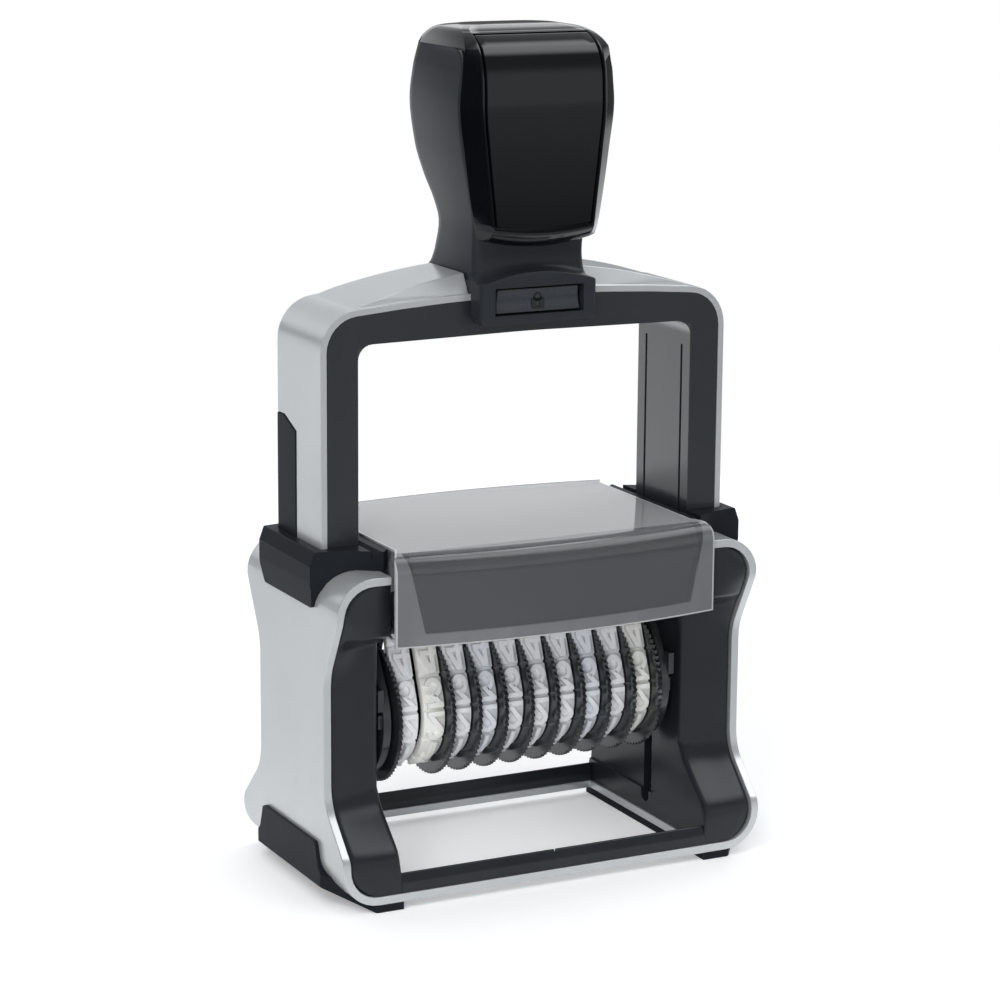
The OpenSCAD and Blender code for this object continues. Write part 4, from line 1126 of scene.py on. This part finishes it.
def floorPaper():
    material = bpy.data.materials.new("floor_paper")
    material.use_nodes = True
    tree = material.node_tree
    shader = tree.nodes["Principled BSDF"]
    shader.inputs["Roughness"].default_value = ground["rough"]
    shader.inputs["Emission Color"].default_value = (1, 1, 1, 1)
    path = tree.nodes.new("ShaderNodeLightPath")
    lift = mathNode(tree, "MULTIPLY", seenByCamera(tree, path), ground["lift"])
    tree.links.new(lift, shader.inputs["Emission Strength"])
    x, y, z = axesOf(tree, "Object")
    inFront = rangeNode(tree, y, ground["front"], blend="LINEAR")
    atLeft = rangeNode(tree, x, ground["left"], (0, ground["leftShare"]), "LINEAR")
    dark = mathNode(tree, "MAXIMUM", inFront, atLeft)
    mirrored = mathNode(tree, "MULTIPLY", path.outputs["Is Glossy Ray"], dark)
    tone = mixColours(tree, mirrored, ground["pale"], ground["dark"])
    tree.links.new(tone, shader.inputs["Base Color"])
    return material


deselectAll()
bpy.ops.mesh.primitive_circle_add(vertices=ground["corners"], radius=ground["radius"], fill_type="NGON")
floor = bpy.context.object
floor.name = "floor"
floor.data.materials.append(floorPaper())


# World: an even light, white to the camera, and a shaded room for mirror-like surfaces

studio = {"light": (0.95, 0.975, 1.0, 1), "strength": 0.55, "roomColour": (0.97, 0.985, 1.0, 1),
          # limits of a direction, and the room's brightness at each
          "front": ((-0.45, 0.35), (0.50, 1.0)),
          "ceiling": ((0.20, 0.50), (1.0, 0.32)),
          "left": ((-0.85, -0.12), (0.03, 1.0)),
          "plateFade": ((-0.14, -0.07), (0.15, 1.0)),
          "dusk": ((-0.03, 0.04), (1.0, 0.10)),
          "dawn": ((0.10, 0.18), (0.10, 1.0)),
          # the dark strip sinks to the right, and is only behind
          "duskSink": ((0.15, 0.30), (0.0, 0.16)), "stripFrom": 0.3,
          "glowTo": (0.46, -0.15, 0.875), "glow": ((0.89, 0.985), (0.0, 1.9))}


def roomStrength(tree):
    x, y, z = axesOf(tree, "Generated")
    ceiling = rangeNode(tree, z, *studio["ceiling"])
    dim = mathNode(tree, "MULTIPLY", rangeNode(tree, y, *studio["front"]), ceiling)
    # below eye level the front is darker, so that the plate fades downwards
    fade = rangeNode(tree, z, *studio["plateFade"], "LINEAR")
    fade = mathNode(tree, "MAXIMUM", fade, mathNode(tree, "GREATER_THAN", y, 0))
    dim = mathNode(tree, "MULTIPLY", dim, fade)
    dim = mathNode(tree, "MULTIPLY", dim, rangeNode(tree, x, *studio["left"]))
    # just above the horizon it is dark behind, for the top of the cap
    lowered = mathNode(tree, "ADD", z, rangeNode(tree, x, *studio["duskSink"]))
    dawn = rangeNode(tree, z, *studio["dawn"])
    strip = mathNode(tree, "MAXIMUM", rangeNode(tree, lowered, *studio["dusk"]), dawn)
    strip = mathNode(tree, "MAXIMUM", strip, mathNode(tree, "LESS_THAN", y, studio["stripFrom"]))
    dim = mathNode(tree, "MULTIPLY", dim, strip)
    # a soft glow above the front, for the rolled top of the plate
    facing = tree.nodes.new("ShaderNodeVectorMath")
    facing.operation = "DOT_PRODUCT"
    facing.inputs[1].default_value = studio["glowTo"]
    where = tree.nodes.new("ShaderNodeTexCoord")
    tree.links.new(where.outputs["Generated"], facing.inputs[0])
    glow = rangeNode(tree, facing.outputs["Value"], *studio["glow"])
    return mathNode(tree, "ADD", dim, glow)


def background(tree, node, colour, strength):
    node.inputs["Color"].default_value = colour
    feed(tree, node.inputs["Strength"], strength)
    return node.outputs["Background"]


def mixShaders(tree, factor, first, second):
    node = tree.nodes.new("ShaderNodeMixShader")
    for socket, value in zip(node.inputs, (factor, first, second)):
        tree.links.new(value, socket)
    return node.outputs["Shader"]


def makeWorld():
    world = bpy.data.worlds.new("studio")
    bpy.context.scene.world = world
    world.use_nodes = True
    tree = world.node_tree
    path = tree.nodes.new("ShaderNodeLightPath")
    shaded, plain = (tree.nodes.new("ShaderNodeBackground") for k in range(2))
    light = background(tree, tree.nodes["Background"], studio["light"], studio["strength"])
    room = background(tree, shaded, studio["roomColour"], roomStrength(tree))
    white = background(tree, plain, (1, 1, 1, 1), 1.0)
    lit = mixShaders(tree, path.outputs["Is Glossy Ray"], light, room)
    shown = mixShaders(tree, seenByCamera(tree, path), lit, white)
    tree.links.new(shown, tree.nodes["World Output"].inputs["Surface"])


makeWorld()


# Lamps and camera, in metres

lamps = {
    "key": {"at": (-0.45, -0.35, 0.60), "to": (0, 0, 0.06), "size": (0.40, 0.40), "power": 1.9},
    "top": {"at": (0.05, 0.15, 0.75), "to": (0, 0, 0.06), "size": (0.50, 0.50), "power": 1.1},
    "rim": {"at": (0.50, 0.20, 0.35), "to": (0, 0, 0.06), "size": (0.30, 0.30), "power": 0.6},
    "backBox": {"at": (-0.20, 0.78, 0.48), "to": (0, 0, 0.10), "size": (0.36, 0.24), "power": 0.25},
    "frontBox": {"at": (0.38, -0.55, 0.68), "to": (0, 0, 0.14), "size": (0.50, 0.30), "power": 0.5},
    "fill": {"at": (-0.34, -0.45, 0.15), "to": (0, 0, 0.035), "size": (0.10, 0.10), "power": 0.8},
}
for name, plan in lamps.items():
    deselectAll()
    bpy.ops.object.light_add(type="AREA", location=plan["at"])
    lamp = bpy.context.object
    lamp.name = name + "_lamp"
    lamp.data.shape = "RECTANGLE"
    lamp.data.size, lamp.data.size_y = plan["size"]
    lamp.data.energy = plan["power"]
    lamp.visible_glossy = False  # the room of the world takes its place there
    aim = Vector(plan["to"]) - Vector(plan["at"])
    lamp.rotation_euler = aim.to_track_quat("-Z", "Y").to_euler()

view = {"at": (-0.24204, -0.476907, 0.182085), "lens": 114.25, "sensor": 36, "near": 0.01,
        "azimuth": -26.855, "elevation": 12.563, "roll": 0.433}
deselectAll()
bpy.ops.object.camera_add(location=view["at"])
camera = bpy.context.object
camera.data.sensor_width = view["sensor"]
camera.data.lens = view["lens"]
camera.data.clip_start = view["near"]
azimuth, elevation, roll = (math.radians(view[key]) for key in ("azimuth", "elevation", "roll"))
level = math.cos(elevation)
backward = Vector((math.sin(azimuth) * level, -math.cos(azimuth) * level, math.sin(elevation)))
right = Vector((math.cos(azimuth), math.sin(azimuth), 0))
up = backward.cross(right)
rolledRight = right * math.cos(roll) + up * math.sin(roll)
rolledUp = up * math.cos(roll) - right * math.sin(roll)
camera.rotation_euler = Matrix((rolledRight, rolledUp, backward)).transposed().to_euler()
bpy.context.scene.camera = camera
bpy.context.scene.view_settings.view_transform = "Standard"
print("stage set")
